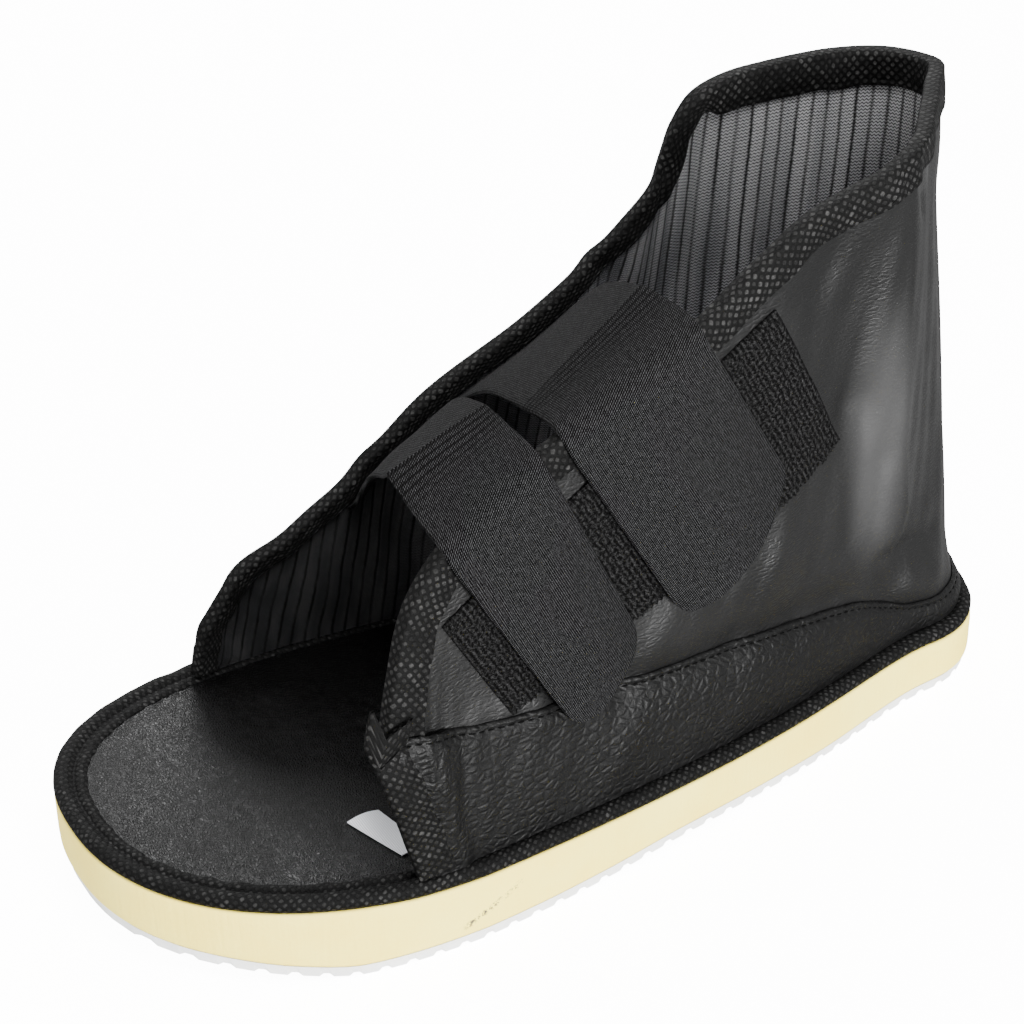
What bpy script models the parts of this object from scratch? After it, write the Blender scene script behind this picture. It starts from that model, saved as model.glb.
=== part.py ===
"""Post operative shoe for the left foot, standing empty on its sole.

A flat sole of a rippled outsole and a foam midsole carries a taped footbed. One wall wraps round
the heel and both sides of the foot, open at the toe, the throat and the collar, and two straps
cross the throat. Metres, +Z up, toe at -Y, the wearer's left at +X, origin on the floor.
"""
import bisect

import bmesh
import bpy
import numpy as np

for old in list(bpy.data.objects):
    bpy.data.objects.remove(old, do_unlink=True)

# Driving sizes of the sole
SOLE_LENGTH = 0.290
BALL_WIDTH = 0.125
WAIST_WIDTH = 0.108
HEEL_WIDTH = 0.077
TOE_ROUND = 0.090
HEEL_ROUND = 0.031
TOE_POWER = 2.3
HEEL_POWER = 2.4
SOLE_BOW = 0.0035
CENTRE_SHIFT = 0.0029
SOLE_HEIGHT = 0.022
OUTSOLE_THICK = 0.0036
RIPPLE_PITCH = 0.0076
RIPPLE_DEPTH = 0.0011
EDGE_SOFTEN = 0.0006

# Driving sizes of the footbed, the tapes and the wall
FOOTBED_THICK = 0.0026
TAPE_THICK = 0.0009
TAPE_WIDTH = 0.0085
FOOTBED_TAPE_WIDTH = 0.0100
TAPE_ROLL = 0.0048
WALL_THICK = 0.0022
WALL_INSET = 0.0050
SHAFT_HEIGHT = 0.170
WALL_LEAN = 1.1
LEVEL_FOOT = 0.12
BAND_THICK = 0.0015
BAND_BULGE = 0.0010
BAND_OVER_TAPE = 24.0
PATCH_THICK = 0.0014
PATCH_WIDTH = 0.050
STRAP_THICK = 0.0016
STRAP_ARCH = 0.004
STRAP_TOUCH = 0.008
STRAP_SEAT = 0.016
RIDGE_LIFT = 0.0031
STEEP_TAPE = 1.4
END_ROUND = 0.80
END_NARROW = 0.50
LABEL_THICK = 0.0004
GAP = 0.0003
TAPE_GAP = 0.0005
EPS = 1e-4

HALF_LENGTH = SOLE_LENGTH / 2
HALF_BALL = BALL_WIDTH / 2

# Side view of the sole, from toe to heel: along is a share of the length, the others of SOLE_HEIGHT
SOLE_LINE = [
    # along, underside, top
    (0.000, 0.46, 1.34),
    (0.070, 0.31, 1.21),
    (0.130, 0.14, 1.12),
    (0.195, 0.00, 1.04),
    (0.245, 0.00, 0.985),
    (0.350, 0.00, 0.955),
    (0.440, 0.03, 0.93),
    (0.540, 0.09, 0.90),
    (0.660, 0.05, 0.865),
    (0.760, 0.00, 0.84),
    (0.900, 0.00, 0.80),
    (1.000, 0.00, 0.775),
]

# One row for each rib of the wall, from the far front round the heel to the near front. The turn
# is in degrees round the sole from the heel; the free edge is given by shares of the sole's
# length, of half the ball width and of the shaft's height.
RIBS = [
    # turn, edge along, edge across, edge up
    (-128.0, 0.209, -0.760, 0.140),
    (-124.0, 0.241, -0.745, 0.225),
    (-118.0, 0.293, -0.720, 0.280),
    (-108.0, 0.372, -0.690, 0.360),
    (-98.0, 0.455, -0.640, 0.490),
    (-87.0, 0.569, -0.585, 0.600),
    (-78.5, 0.648, -0.520, 0.710),
    (-72.5, 0.697, -0.455, 0.825),
    (-68.0, 0.711, -0.405, 0.915),
    (-63.0, 0.730, -0.375, 0.969),
    (-55.0, 0.785, -0.385, 0.989),
    (-42.0, 0.872, -0.375, 0.992),
    (-24.0, 0.934, -0.225, 0.994),
    (0.0, 0.955, 0.000, 0.995),
    (22.0, 0.917, 0.225, 0.993),
    (36.0, 0.870, 0.465, 0.991),
    (46.0, 0.810, 0.710, 0.982),
    (55.0, 0.766, 0.745, 0.958),
    (65.5, 0.700, 0.745, 0.925),
    (75.0, 0.638, 0.745, 0.865),
    (85.0, 0.566, 0.770, 0.790),
    (95.0, 0.472, 0.790, 0.720),
    (103.0, 0.397, 0.815, 0.660),
    (111.0, 0.307, 0.855, 0.575),
    (115.5, 0.262, 0.890, 0.490),
    (118.5, 0.238, 0.920, 0.375),
    (120.5, 0.226, 0.935, 0.270),
]

# Height of the lower side band, as a share of the shaft's height, along the ribs
BAND_TOP = [
    # rib, height
    (2.0, 0.140),
    (6.0, 0.160),
    (13.0, 0.150),
    (19.0, 0.185),
    (22.0, 0.195),
    (23.0, 0.205),
    (24.0, 0.225),
    (26.0, 0.243),
]

# The straps: points on the left and right edges, as shares of the sole's length, of half the ball
# width and of the shaft's height. The far end is sewn under the edge tape of the far side.
STRAPS = {
    # near edge left and right (along), crease left and right (along, across, up),
    # far end left and right (along), length down the near side
    "strap_lower": dict(near=(0.296, 0.399),
                        crease=((0.290, 0.480, 0.631), (0.394, 0.448, 0.696)),
                        far=(0.372, 0.462), run=0.072),
    "strap_upper": dict(near=(0.421, 0.569),
                        crease=((0.427, 0.480, 0.678), (0.562, 0.416, 0.819)),
                        far=(0.482, 0.612), run=0.063),
}

# Top corner at the toe end of each hook patch, on the near side, and how it leans
PATCHES = {
    # along, up, length down the side
    "hook_patch_lower": (0.290, 0.450, 0.040),
    "hook_patch_upper": (0.494, 0.635, 0.050),
}
PATCH_DOWN = (0.485, -0.875)

# Corners of the small blank ribbon that lies on the footbed at the near front
RIBBON = [
    # along, across
    (0.228, 0.490),
    (0.262, 0.480),
    (0.275, 0.790),
    (0.250, 0.800),
]


def follow(xs, ys, x):
    """Value at x of a smooth curve through the points that never passes beyond them."""
    i = min(max(bisect.bisect_right(xs, x) - 1, 0), len(xs) - 2)

    def rise(k):
        return (ys[k + 1] - ys[k]) / (xs[k + 1] - xs[k])

    def slope(k):
        if k == 0:
            return rise(0)
        if k == len(xs) - 1:
            return rise(k - 1)
        before, after = rise(k - 1), rise(k)
        return 0.0 if before * after <= 0 else 2 * before * after / (before + after)

    step = xs[i + 1] - xs[i]
    t = (x - xs[i]) / step
    return (ys[i] * (1 + 2 * t) * (1 - t) ** 2 + slope(i) * step * t * (1 - t) ** 2
            + ys[i + 1] * t * t * (3 - 2 * t) + slope(i + 1) * step * t * t * (t - 1))


def columns_of(table):
    """The columns of a table as lists."""
    return [list(column) for column in zip(*table)]


SOLE_ALONG, SOLE_UNDER, SOLE_TOP = columns_of(SOLE_LINE)
RIB_TURN, RIB_ALONG, RIB_ACROSS, RIB_UP = columns_of(RIBS)
RIB_COUNT = list(range(len(RIBS)))
LAST_RIB = len(RIBS) - 1
BAND_RIB, BAND_HEIGHT = columns_of(BAND_TOP)


def underside(y):
    """Height of the sole's underside above the floor."""
    return SOLE_HEIGHT * follow(SOLE_ALONG, SOLE_UNDER, y / SOLE_LENGTH + 0.5)


def sole_top(y):
    """Height of the midsole's top."""
    return SOLE_HEIGHT * follow(SOLE_ALONG, SOLE_TOP, y / SOLE_LENGTH + 0.5)


def half_width(y, inset):
    """Half width of the sole's outline, drawn in by an inset."""
    toe, heel = TOE_ROUND - inset, HEEL_ROUND - inset
    ball_y, heel_y = TOE_ROUND - HALF_LENGTH, HALF_LENGTH - HEEL_ROUND
    if y < ball_y:
        reach = min((ball_y - y) / toe, 1.0)
        return (BALL_WIDTH / 2 - inset) * (1 - reach ** TOE_POWER) ** (1 / TOE_POWER)
    if y > heel_y:
        reach = min((y - heel_y) / heel, 1.0)
        return (HEEL_WIDTH / 2 - inset) * (1 - reach ** HEEL_POWER) ** (1 / HEEL_POWER)
    t = (y - ball_y) / (heel_y - ball_y)
    width = (BALL_WIDTH * (1 - t) * (1 - 2 * t) + 4 * WAIST_WIDTH * t * (1 - t)
             + HEEL_WIDTH * t * (2 * t - 1))
    bend = 4 * WAIST_WIDTH - BALL_WIDTH - 3 * HEEL_WIDTH
    width -= 2 * bend * t ** 6 * (1 - t) * (t - 0.5)
    return width / 2 - inset


def outline(side, share, inset):
    """Plan point of the outline; share runs from -1 at the toe to 1 at the heel."""
    y = share * (HALF_LENGTH - inset)
    bow = SOLE_BOW * (1 - (y / HALF_LENGTH) ** 2)
    return bow + side * half_width(y, inset), y


def wall(u, s):
    """Point on the wall's outer face: u counts the ribs, s runs from the footbed to the free edge."""
    turn = np.radians(follow(RIB_COUNT, RIB_TURN, u))
    foot_x, foot_y = outline(np.sign(turn) or 1.0, np.cos(turn), WALL_INSET)
    edge_x = HALF_BALL * follow(RIB_COUNT, RIB_ACROSS, u)
    edge_y = SOLE_LENGTH * (follow(RIB_COUNT, RIB_ALONG, u) - 0.5)
    foot_z = sole_top(foot_y) + FOOTBED_THICK + TAPE_THICK + 3 * GAP
    edge_z = sole_top(edge_y) + SHAFT_HEIGHT * follow(RIB_COUNT, RIB_UP, u)
    lean = np.sign(s) * abs(s) ** WALL_LEAN
    return np.array([foot_x + (edge_x - foot_x) * lean, foot_y + (edge_y - foot_y) * lean,
                     foot_z + (edge_z - foot_z) * s])


def wall_slopes(u, s):
    """How the wall's outer face moves with u and with s."""
    u0, u1 = max(u - 0.05, 0.0), min(u + 0.05, LAST_RIB)
    s0, s1 = max(s - 0.01, 0.0), min(s + 0.01, 1.0)
    return (wall(u1, s) - wall(u0, s)) / (u1 - u0), (wall(u, s1) - wall(u, s0)) / (s1 - s0)


def unit(vector):
    """The vector at length 1."""
    return vector / np.linalg.norm(vector)


def skin(u, s, out):
    """Point that lies a distance out from the wall's outer face."""
    along, up = wall_slopes(u, s)
    face = unit(np.cross(up, along))
    face[2] *= min(1.0, max(s, 0.0) / LEVEL_FOOT)
    return wall(u, s) + unit(face) * out


def march(u, s, direction, distance, steps=4):
    """Wall coordinates reached by going a distance over the face in a direction."""
    for _ in range(steps):
        along, up = wall_slopes(u, s)
        move = np.linalg.lstsq(np.stack([along, up], 1), direction * distance / steps, rcond=None)[0]
        u = min(max(u + move[0], 0.0), LAST_RIB)
        s = min(max(s + move[1], 0.0), 1.0)
    return u, s


def near_side(y, z):
    """Wall coordinates of the near side's point with this y and z."""
    u, s = LAST_RIB - 4.0, 0.5
    for _ in range(30):
        along, up = wall_slopes(u, s)
        miss = np.array([y, z]) - wall(u, s)[1:]
        move = np.linalg.lstsq(np.stack([along[1:], up[1:]], 1), miss, rcond=None)[0]
        u = min(max(u + 0.7 * move[0], LAST_RIB / 2), LAST_RIB)
        s = min(max(s + 0.7 * move[1], 0.0), 1.0)
    return u, s


def material(name, colour, roughness):
    """A plain material with a colour and a roughness."""
    made = bpy.data.materials.new(name)
    made.use_nodes = True
    shader = made.node_tree.nodes["Principled BSDF"]
    shader.inputs["Base Color"].default_value = (*colour, 1.0)
    shader.inputs["Roughness"].default_value = roughness
    shader.inputs["Metallic"].default_value = 0.0
    return made


def loft(name, loops, finish, closed=False):
    """A solid through loops of points; each open end is closed by a ladder of quads."""
    loops = np.array(loops)
    loops[:, :, 0] -= CENTRE_SHIFT
    count, size = loops.shape[:2]
    mesh = bpy.data.meshes.new(name)
    faces = []
    for i in range(count if closed else count - 1):
        k = (i + 1) % count
        for j in range(size):
            n = (j + 1) % size
            faces.append((i * size + j, i * size + n, k * size + n, k * size + j))
    if not closed:
        for start in (0, (count - 1) * size):
            for j in range(size // 2 - 1):
                faces.append((start + j, start + j + 1, start + size - 2 - j, start + size - 1 - j))
    mesh.from_pydata(loops.reshape(-1, 3).tolist(), [], faces)
    work = bmesh.new()
    work.from_mesh(mesh)
    bmesh.ops.recalc_face_normals(work, faces=work.faces)
    if work.calc_volume(signed=True) < 0:
        bmesh.ops.reverse_faces(work, faces=work.faces)
    work.to_mesh(mesh)
    work.free()
    mesh.shade_smooth()
    mesh.set_sharp_from_angle(angle=np.radians(35))
    piece = bpy.data.objects.new(name, mesh)
    piece.data.materials.append(finish)
    bpy.context.scene.collection.objects.link(piece)
    return piece


def sole_loops(shares, levels):
    """Loops across the sole; each level is an inset and a function for its height."""
    loops = []
    for share in shares:
        loop = []
        for side, order in ((-1, levels), (1, levels[::-1])):
            for inset, height in order:
                x, y = outline(side, share, inset)
                loop.append((x, y, height(y)))
        loops.append(loop)
    return loops


def even_shares(step):
    """Shares from toe to heel, closer together at both ends."""
    return [float(np.sin(np.radians(a))) for a in np.arange(-88.0, 88.0 + EPS, step)]


RIPPLE_BREAKS = ((0.0, 0.0), (0.52, 0.0), (0.66, 1.0), (0.86, 1.0))
TIP_TURNS = (88.0, 86.0, 83.5, 81.0)


def ripple_rows():
    """Shares and groove depths of the outsole's cross ribs, with the toe and heel tips."""
    tips = [float(np.sin(np.radians(a))) for a in TIP_TURNS]
    rows = [(side * tip, 0.0) for tip in tips for side in (-1, 1)]
    count = int(HALF_LENGTH / RIPPLE_PITCH) + 1
    for k in range(-count, count):
        for phase, depth in RIPPLE_BREAKS:
            share = (k + phase) * RIPPLE_PITCH / HALF_LENGTH
            if abs(share) < min(tips) - EPS:
                rows.append((share, depth))
    return sorted(rows)


def make_outsole(finish):
    """Thin outsole with cross ribs, their lands flat on the floor at ball and heel."""
    loops = []
    for share, depth in ripple_rows():
        levels = [(EDGE_SOFTEN, lambda y, d=depth: underside(y) + d * RIPPLE_DEPTH),
                  (0.0, lambda y: underside(y) + OUTSOLE_THICK)]
        loops += sole_loops([share], levels)
    loft("outsole", loops, finish)


def make_midsole(finish):
    """Foam midsole with an upright side."""
    levels = [(EDGE_SOFTEN, lambda y: underside(y) + OUTSOLE_THICK + GAP),
              (0.0, lambda y: underside(y) + OUTSOLE_THICK + GAP + EDGE_SOFTEN),
              (0.0, lambda y: sole_top(y) - EDGE_SOFTEN),
              (EDGE_SOFTEN, sole_top)]
    loft("midsole", sole_loops(even_shares(4.0), levels), finish)


def make_footbed(finish):
    """Footbed board inside its tape."""
    inset = TAPE_ROLL + GAP
    levels = [(inset, lambda y: sole_top(y) + GAP),
              (inset, lambda y: sole_top(y) + GAP + FOOTBED_THICK)]
    loft("footbed", sole_loops(even_shares(4.0), levels), finish)


def make_footbed_binding(finish):
    """Tape rolled round the footbed's edge, with its inner row flat on the footbed."""
    over = FOOTBED_THICK + 2 * GAP
    top = over + TAPE_THICK
    section = [(0.0, GAP), (-0.08 * TAPE_ROLL, GAP + 0.3 * top), (0.0, 0.8 * top),
               (0.25 * TAPE_ROLL, top),
               (FOOTBED_TAPE_WIDTH, top), (FOOTBED_TAPE_WIDTH, over), (TAPE_ROLL, over),
               (TAPE_ROLL, GAP)]
    shares = even_shares(4.0)
    stations = [(-1, share) for share in shares] + [(1, share) for share in shares[::-1]]
    loops = []
    for side, share in stations:
        loop = []
        for inset, lift in section:
            x, y = outline(side, share, inset)
            loop.append((x, y, sole_top(y) + lift))
        loops.append(loop)
    loft("footbed_binding", loops, finish, closed=True)


def wall_columns():
    """Rib counts of the wall's columns, closer together round the heel."""
    columns = []
    for rib in range(LAST_RIB):
        parts = 3 if 7 <= rib <= 15 else 2
        columns += [rib + k / parts for k in range(parts)]
    return columns + [float(LAST_RIB)]


WALL_ROWS = (0.0, 0.12, 0.25, 0.40, 0.55, 0.70, 0.85, 1.0)


def make_upper(finish):
    """The wall: one hollow solid, open at toe, throat, collar and underneath."""
    loops = []
    for u in wall_columns():
        outer = [skin(u, s, 0.0) for s in WALL_ROWS]
        inner = [skin(u, s, -WALL_THICK) for s in WALL_ROWS]
        loops.append(outer + inner[::-1])
    loft("upper", loops, finish)


def tape_loops(path, outside, inside, flange=True):
    """Loops of a tape folded over an edge, between an outer and an inner distance from the face.

    Without its inner flange the tape ends at the inner distance.
    """
    points = [wall(u, s) for u, s in path]
    loops = []
    for i, (u, s) in enumerate(path):
        run = unit(points[min(i + 2, len(path) - 1)] - points[max(i - 2, 0)])
        along, up = wall_slopes(u, s)
        inward = unit(np.cross(unit(np.cross(up, along)), run))
        half = march(u, s, inward, TAPE_WIDTH / 2)
        low = march(*half, inward, TAPE_WIDTH / 2)
        fold = -inward * (TAPE_GAP + TAPE_THICK)
        outer = [skin(*low, outside + TAPE_THICK), skin(*half, outside + TAPE_THICK),
                 skin(u, s, outside + TAPE_THICK), skin(u, s, outside) + fold,
                 skin(u, s, inside) + fold]
        inner = [skin(u, s, inside) - inward * TAPE_GAP, skin(u, s, outside) - inward * TAPE_GAP,
                 skin(u, s, outside), skin(*half, outside), skin(*low, outside)]
        if flange:
            outer += [skin(u, s, inside - TAPE_THICK), skin(*half, inside - TAPE_THICK),
                      skin(*low, inside - TAPE_THICK)]
            inner = [skin(*low, inside), skin(*half, inside), skin(u, s, inside)] + inner
        loops.append(outer + inner)
    return loops


def band_share(u):
    """How far up its rib the side band reaches."""
    height = SHAFT_HEIGHT * follow(BAND_RIB, BAND_HEIGHT, u)
    return height / (wall(u, 1.0)[2] - wall(u, 0.0)[2])


def band_lift(u):
    """Distance of the side band's inner face from the wall, larger over the front edge tape."""
    return GAP if u < BAND_OVER_TAPE else TAPE_GAP + TAPE_THICK + GAP


def make_upper_binding(finish):
    """Tape round the whole free edge of the wall, its near front under the side band."""
    rise = (0.04, 0.35, 0.7)
    path = [(0.0, s) for s in rise]
    path += [(u, 1.0) for u in wall_columns()]
    path += [(float(LAST_RIB), s) for s in rise[::-1]]
    loft("upper_binding", tape_loops(path, TAPE_GAP, -WALL_THICK - TAPE_GAP), finish)


def make_side_band(finish):
    """Lower band sewn over the wall from the near front round the heel to the far side."""
    rows = (0.0, 0.33, 0.67, 1.0)
    loops = []
    for u in [u for u in wall_columns() if u >= BAND_RIB[0]]:
        top = band_share(u)
        lift = band_lift(u)
        inner = [skin(u, r * top, lift) for r in rows]
        outer = [skin(u, r * top, lift + BAND_THICK + BAND_BULGE * np.sin(np.pi * r)) for r in rows]
        loops.append(outer + inner[::-1])
    loft("side_band", loops, finish)


def make_band_binding(finish):
    """Tape folded over the front end of the side band."""
    top = band_share(float(LAST_RIB))
    lift = band_lift(LAST_RIB)
    path = [(float(LAST_RIB), top * r) for r in (1.0, 0.67, 0.33, 0.06)]
    loops = tape_loops(path, lift + BAND_THICK + BAND_BULGE + GAP, lift, flange=False)
    loft("band_binding", loops, finish)


def side_point(y, z, out):
    """Point over the near side with this y and z."""
    return skin(*near_side(y, z), out)


def make_patch(name, corner, finish):
    """Hook patch on the near side, its upper edge along the edge tape."""
    along, up, length = corner
    y0 = SOLE_LENGTH * (along - 0.5)
    z0 = sole_top(y0) + SHAFT_HEIGHT * up
    down = np.array(PATCH_DOWN)
    across = np.array([-down[1], down[0]])
    parts = 5
    loops = []
    for i in range(parts + 1):
        spots = [np.array([y0, z0]) + across * PATCH_WIDTH * i / parts + down * length * j / parts
                 for j in range(parts + 1)]
        outer = [side_point(*spot, GAP + PATCH_THICK) for spot in spots]
        inner = [side_point(*spot, GAP) for spot in spots]
        loops.append(outer + inner[::-1])
    loft(name, loops, finish)


def glide(points, parts):
    """Smooth curve through the points, each stretch cut into parts."""
    points = [np.asarray(p, float) for p in points]
    padded = [2 * points[0] - points[1]] + points + [2 * points[-1] - points[-2]]
    curve = []
    for a, b, c, d in zip(padded, padded[1:], padded[2:], padded[3:]):
        for k in range(parts):
            t = k / parts
            curve.append(0.5 * (2 * b + (c - a) * t + (2 * a - 5 * b + 4 * c - d) * t ** 2
                                + (3 * b - a - 3 * c + d) * t ** 3))
    return curve + [points[-1]]


def edge_rib(along, first, last):
    """Rib count at which the free edge has this share of the length, between two ribs."""
    y = SOLE_LENGTH * (along - 0.5)
    rising = wall(last, 1.0)[1] > wall(first, 1.0)[1]
    for _ in range(40):
        mid = (first + last) / 2
        if (wall(mid, 1.0)[1] < y) == rising:
            first = mid
        else:
            last = mid
    return (first + last) / 2


def blend(pair, share):
    """Value or point at a share of the way from the first of a pair to the second."""
    first, second = np.asarray(pair[0], float), np.asarray(pair[1], float)
    return first + (second - first) * share


def strap_line(strap, share):
    """Middle layer of a strap along its length, at a share of its width from the left edge."""
    half = STRAP_THICK / 2
    lie = GAP + PATCH_THICK + 2 * GAP + half
    over_band = GAP + BAND_THICK + BAND_BULGE + 2 * GAP + half
    hold = -(WALL_THICK + GAP + half)
    clear = -(WALL_THICK + TAPE_GAP + TAPE_THICK + 2 * GAP + half)
    along, across, up = blend(strap["crease"], share)
    y = SOLE_LENGTH * (along - 0.5)
    crease = np.array([HALF_BALL * across, y, sole_top(y) + SHAFT_HEIGHT * up])
    far_rib = edge_rib(blend(strap["far"], share), 0.0, 9.0)
    tall = wall(far_rib, 1.0)[2] - wall(far_rib, 0.0)[2]
    seat = [skin(far_rib, 1.0 - (TAPE_WIDTH * STEEP_TAPE + STRAP_SEAT * below) / tall, out)
            for below, out in
            ((1.0, hold), (0.56, hold), (0.19, 0.5 * (hold + clear)), (-0.06, clear))]
    over = 0.5 * (seat[-1] + crease) + np.array([0.0, 0.0, STRAP_ARCH])
    starts = [wall(edge_rib(near, 18.0, LAST_RIB - 1.0), 1.0)[1:] for near in strap["near"]]
    near_rib = edge_rib(blend(strap["near"], share), 18.0, LAST_RIB - 1.0)
    start = wall(near_rib, 1.0)[1:]
    ridge = [skin(near_rib, 1.0, out) + np.array([0.0, 0.0, lift]) for out, lift in
             ((clear, 1.35 * RIDGE_LIFT), (0.6 * lie, RIDGE_LIFT), (lie + GAP, -0.32 * RIDGE_LIFT))]
    down = np.array(PATCH_DOWN)
    line = seat[:-1] + glide([seat[-1], over, crease], 4) + [blend((crease, ridge[0]), 0.5)] + ridge
    line.append(side_point(*(start + down * STRAP_TOUCH), lie))
    middle = sum(starts) / 2
    for part in (0.25, 0.5, 0.7, 0.82, 0.9, 0.96, 1.0):
        reach = STRAP_TOUCH + (strap["run"] - STRAP_TOUCH) * part
        late = max(0.0, (part - END_ROUND) / (1 - END_ROUND))
        flat = blend(starts, share)
        spot = flat + (start - flat) * (1.0 - part) + down * reach
        spot += (middle - flat) * END_NARROW * late ** 2
        line.append(side_point(*spot, lie + (over_band - lie) * min(1.0, 2 * part ** 2)))
    return line


def make_strap(name, strap, finish):
    """Strap sewn inside the far side, folded over the throat and laid on the near side."""
    lines = [strap_line(strap, share) for share in (0.0, 0.25, 0.5, 0.75, 1.0)]
    rows = list(zip(*lines))
    loops = []
    for i, row in enumerate(rows):
        before, after = rows[max(i - 1, 0)], rows[min(i + 1, len(rows) - 1)]
        across = unit(row[-1] - row[0])
        faces = [unit(np.cross(across, unit(b - a))) for a, b in zip(before, after)]
        upper = [p + f * STRAP_THICK / 2 for p, f in zip(row, faces)]
        lower = [p - f * STRAP_THICK / 2 for p, f in zip(row, faces)]
        loops.append(upper + lower[::-1])
    loft(name, loops, finish)


def make_ribbon(finish):
    """Small blank ribbon that lies on the footbed inside the near front."""
    loops = []
    points = [(HALF_BALL * across, SOLE_LENGTH * (along - 0.5)) for along, across in RIBBON]
    for t in (0.0, 0.5, 1.0):
        first = [a + (b - a) * t for a, b in zip(points[0], points[3])]
        second = [a + (b - a) * t for a, b in zip(points[1], points[2])]
        loop = []
        for lift, ends in ((0.0, (first, second)), (LABEL_THICK, (second, first))):
            for x, y in ends:
                loop.append((x, y, sole_top(y) + 2 * GAP + FOOTBED_THICK + lift))
        loops.append(loop)
    loft("ribbon", loops, finish)


foam = material("foam", (0.93, 0.85, 0.63), 0.75)
white_rubber = material("white_rubber", (0.86, 0.87, 0.88), 0.6)
footbed_leather = material("footbed_leather", (0.02, 0.02, 0.022), 0.5)
upper_leather = material("upper_leather", (0.018, 0.018, 0.02), 0.42)
tape = material("tape", (0.012, 0.012, 0.013), 0.8)
hook = material("hook", (0.012, 0.012, 0.014), 0.9)
webbing = material("webbing", (0.02, 0.021, 0.023), 0.85)
ribbon_white = material("ribbon_white", (0.8, 0.81, 0.84), 0.6)

make_outsole(white_rubber)
make_midsole(foam)
make_footbed(footbed_leather)
make_footbed_binding(tape)
make_upper(upper_leather)
make_upper_binding(tape)
make_side_band(upper_leather)
make_band_binding(tape)
for patch_name, patch_corner in PATCHES.items():
    make_patch(patch_name, patch_corner, hook)
for strap_name, strap_sizes in STRAPS.items():
    make_strap(strap_name, strap_sizes, webbing)
make_ribbon(ribbon_white)
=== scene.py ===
"""Looks of the post operative shoe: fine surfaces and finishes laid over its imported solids.

Metres, +Z up, toe at -Y, the wearer's left at +X, origin on the floor under the middle of the sole.
"""

import math

import bmesh
import bpy
import numpy as np
from mathutils import Matrix, Vector


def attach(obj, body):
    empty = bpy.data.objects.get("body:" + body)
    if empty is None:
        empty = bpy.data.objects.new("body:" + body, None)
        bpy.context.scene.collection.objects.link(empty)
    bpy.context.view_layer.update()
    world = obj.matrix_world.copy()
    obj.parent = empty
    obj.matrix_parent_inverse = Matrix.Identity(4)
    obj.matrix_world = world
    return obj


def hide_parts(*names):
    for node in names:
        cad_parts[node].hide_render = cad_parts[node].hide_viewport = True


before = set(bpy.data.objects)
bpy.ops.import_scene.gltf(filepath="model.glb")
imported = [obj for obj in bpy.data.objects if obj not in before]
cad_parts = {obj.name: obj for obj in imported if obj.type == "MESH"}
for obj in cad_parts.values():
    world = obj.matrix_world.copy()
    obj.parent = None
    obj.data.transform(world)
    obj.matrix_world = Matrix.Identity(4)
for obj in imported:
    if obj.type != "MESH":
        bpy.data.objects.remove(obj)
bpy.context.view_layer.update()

# Sizes of the shoe, the same as those of its solids
SOLE_LENGTH = 0.290
BALL_WIDTH = 0.125
WAIST_WIDTH = 0.108
HEEL_WIDTH = 0.077
TOE_ROUND = 0.090
HEEL_ROUND = 0.031
TOE_POWER = 2.3
HEEL_POWER = 2.4
SOLE_BOW = 0.0035
CENTRE_SHIFT = 0.0029
SOLE_HEIGHT = 0.022
OUTSOLE_THICK = 0.0036
FOOTBED_THICK = 0.0026
TAPE_THICK = 0.0009
TAPE_WIDTH = 0.0085
WALL_THICK = 0.0022
WALL_INSET = 0.0050
SHAFT_HEIGHT = 0.170
WALL_LEAN = 1.1
LEVEL_FOOT = 0.12
BAND_THICK = 0.0015
BAND_BULGE = 0.0010
BAND_OVER_TAPE = 24.0
PATCH_THICK = 0.0014
STRAP_THICK = 0.0016
STRAP_ARCH = 0.004
STRAP_TOUCH = 0.008
RIDGE_LIFT = 0.0031
STEEP_TAPE = 1.4
GAP = 0.0003
TAPE_GAP = 0.0005
HALF_LENGTH = SOLE_LENGTH / 2
HALF_BALL = BALL_WIDTH / 2
MM = 0.001

# Sizes that only the finer surfaces have
LEATHER_THICK = 0.0010
BAND_PAST = 0.0045
END_ROUND = 0.90
END_NARROW = 0.10
GRID_STEP = 0.00125
PATCH_CELLS = 70

# Side view of the sole, from toe to heel: along is a share of the length, the others of SOLE_HEIGHT
SOLE_LINE = [
    # along, underside, top
    (0.000, 0.46, 1.34),
    (0.070, 0.31, 1.21),
    (0.130, 0.14, 1.12),
    (0.195, 0.00, 1.04),
    (0.245, 0.00, 0.985),
    (0.350, 0.00, 0.955),
    (0.440, 0.03, 0.93),
    (0.540, 0.09, 0.90),
    (0.660, 0.05, 0.865),
    (0.760, 0.00, 0.84),
    (0.900, 0.00, 0.80),
    (1.000, 0.00, 0.775),
]

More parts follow.
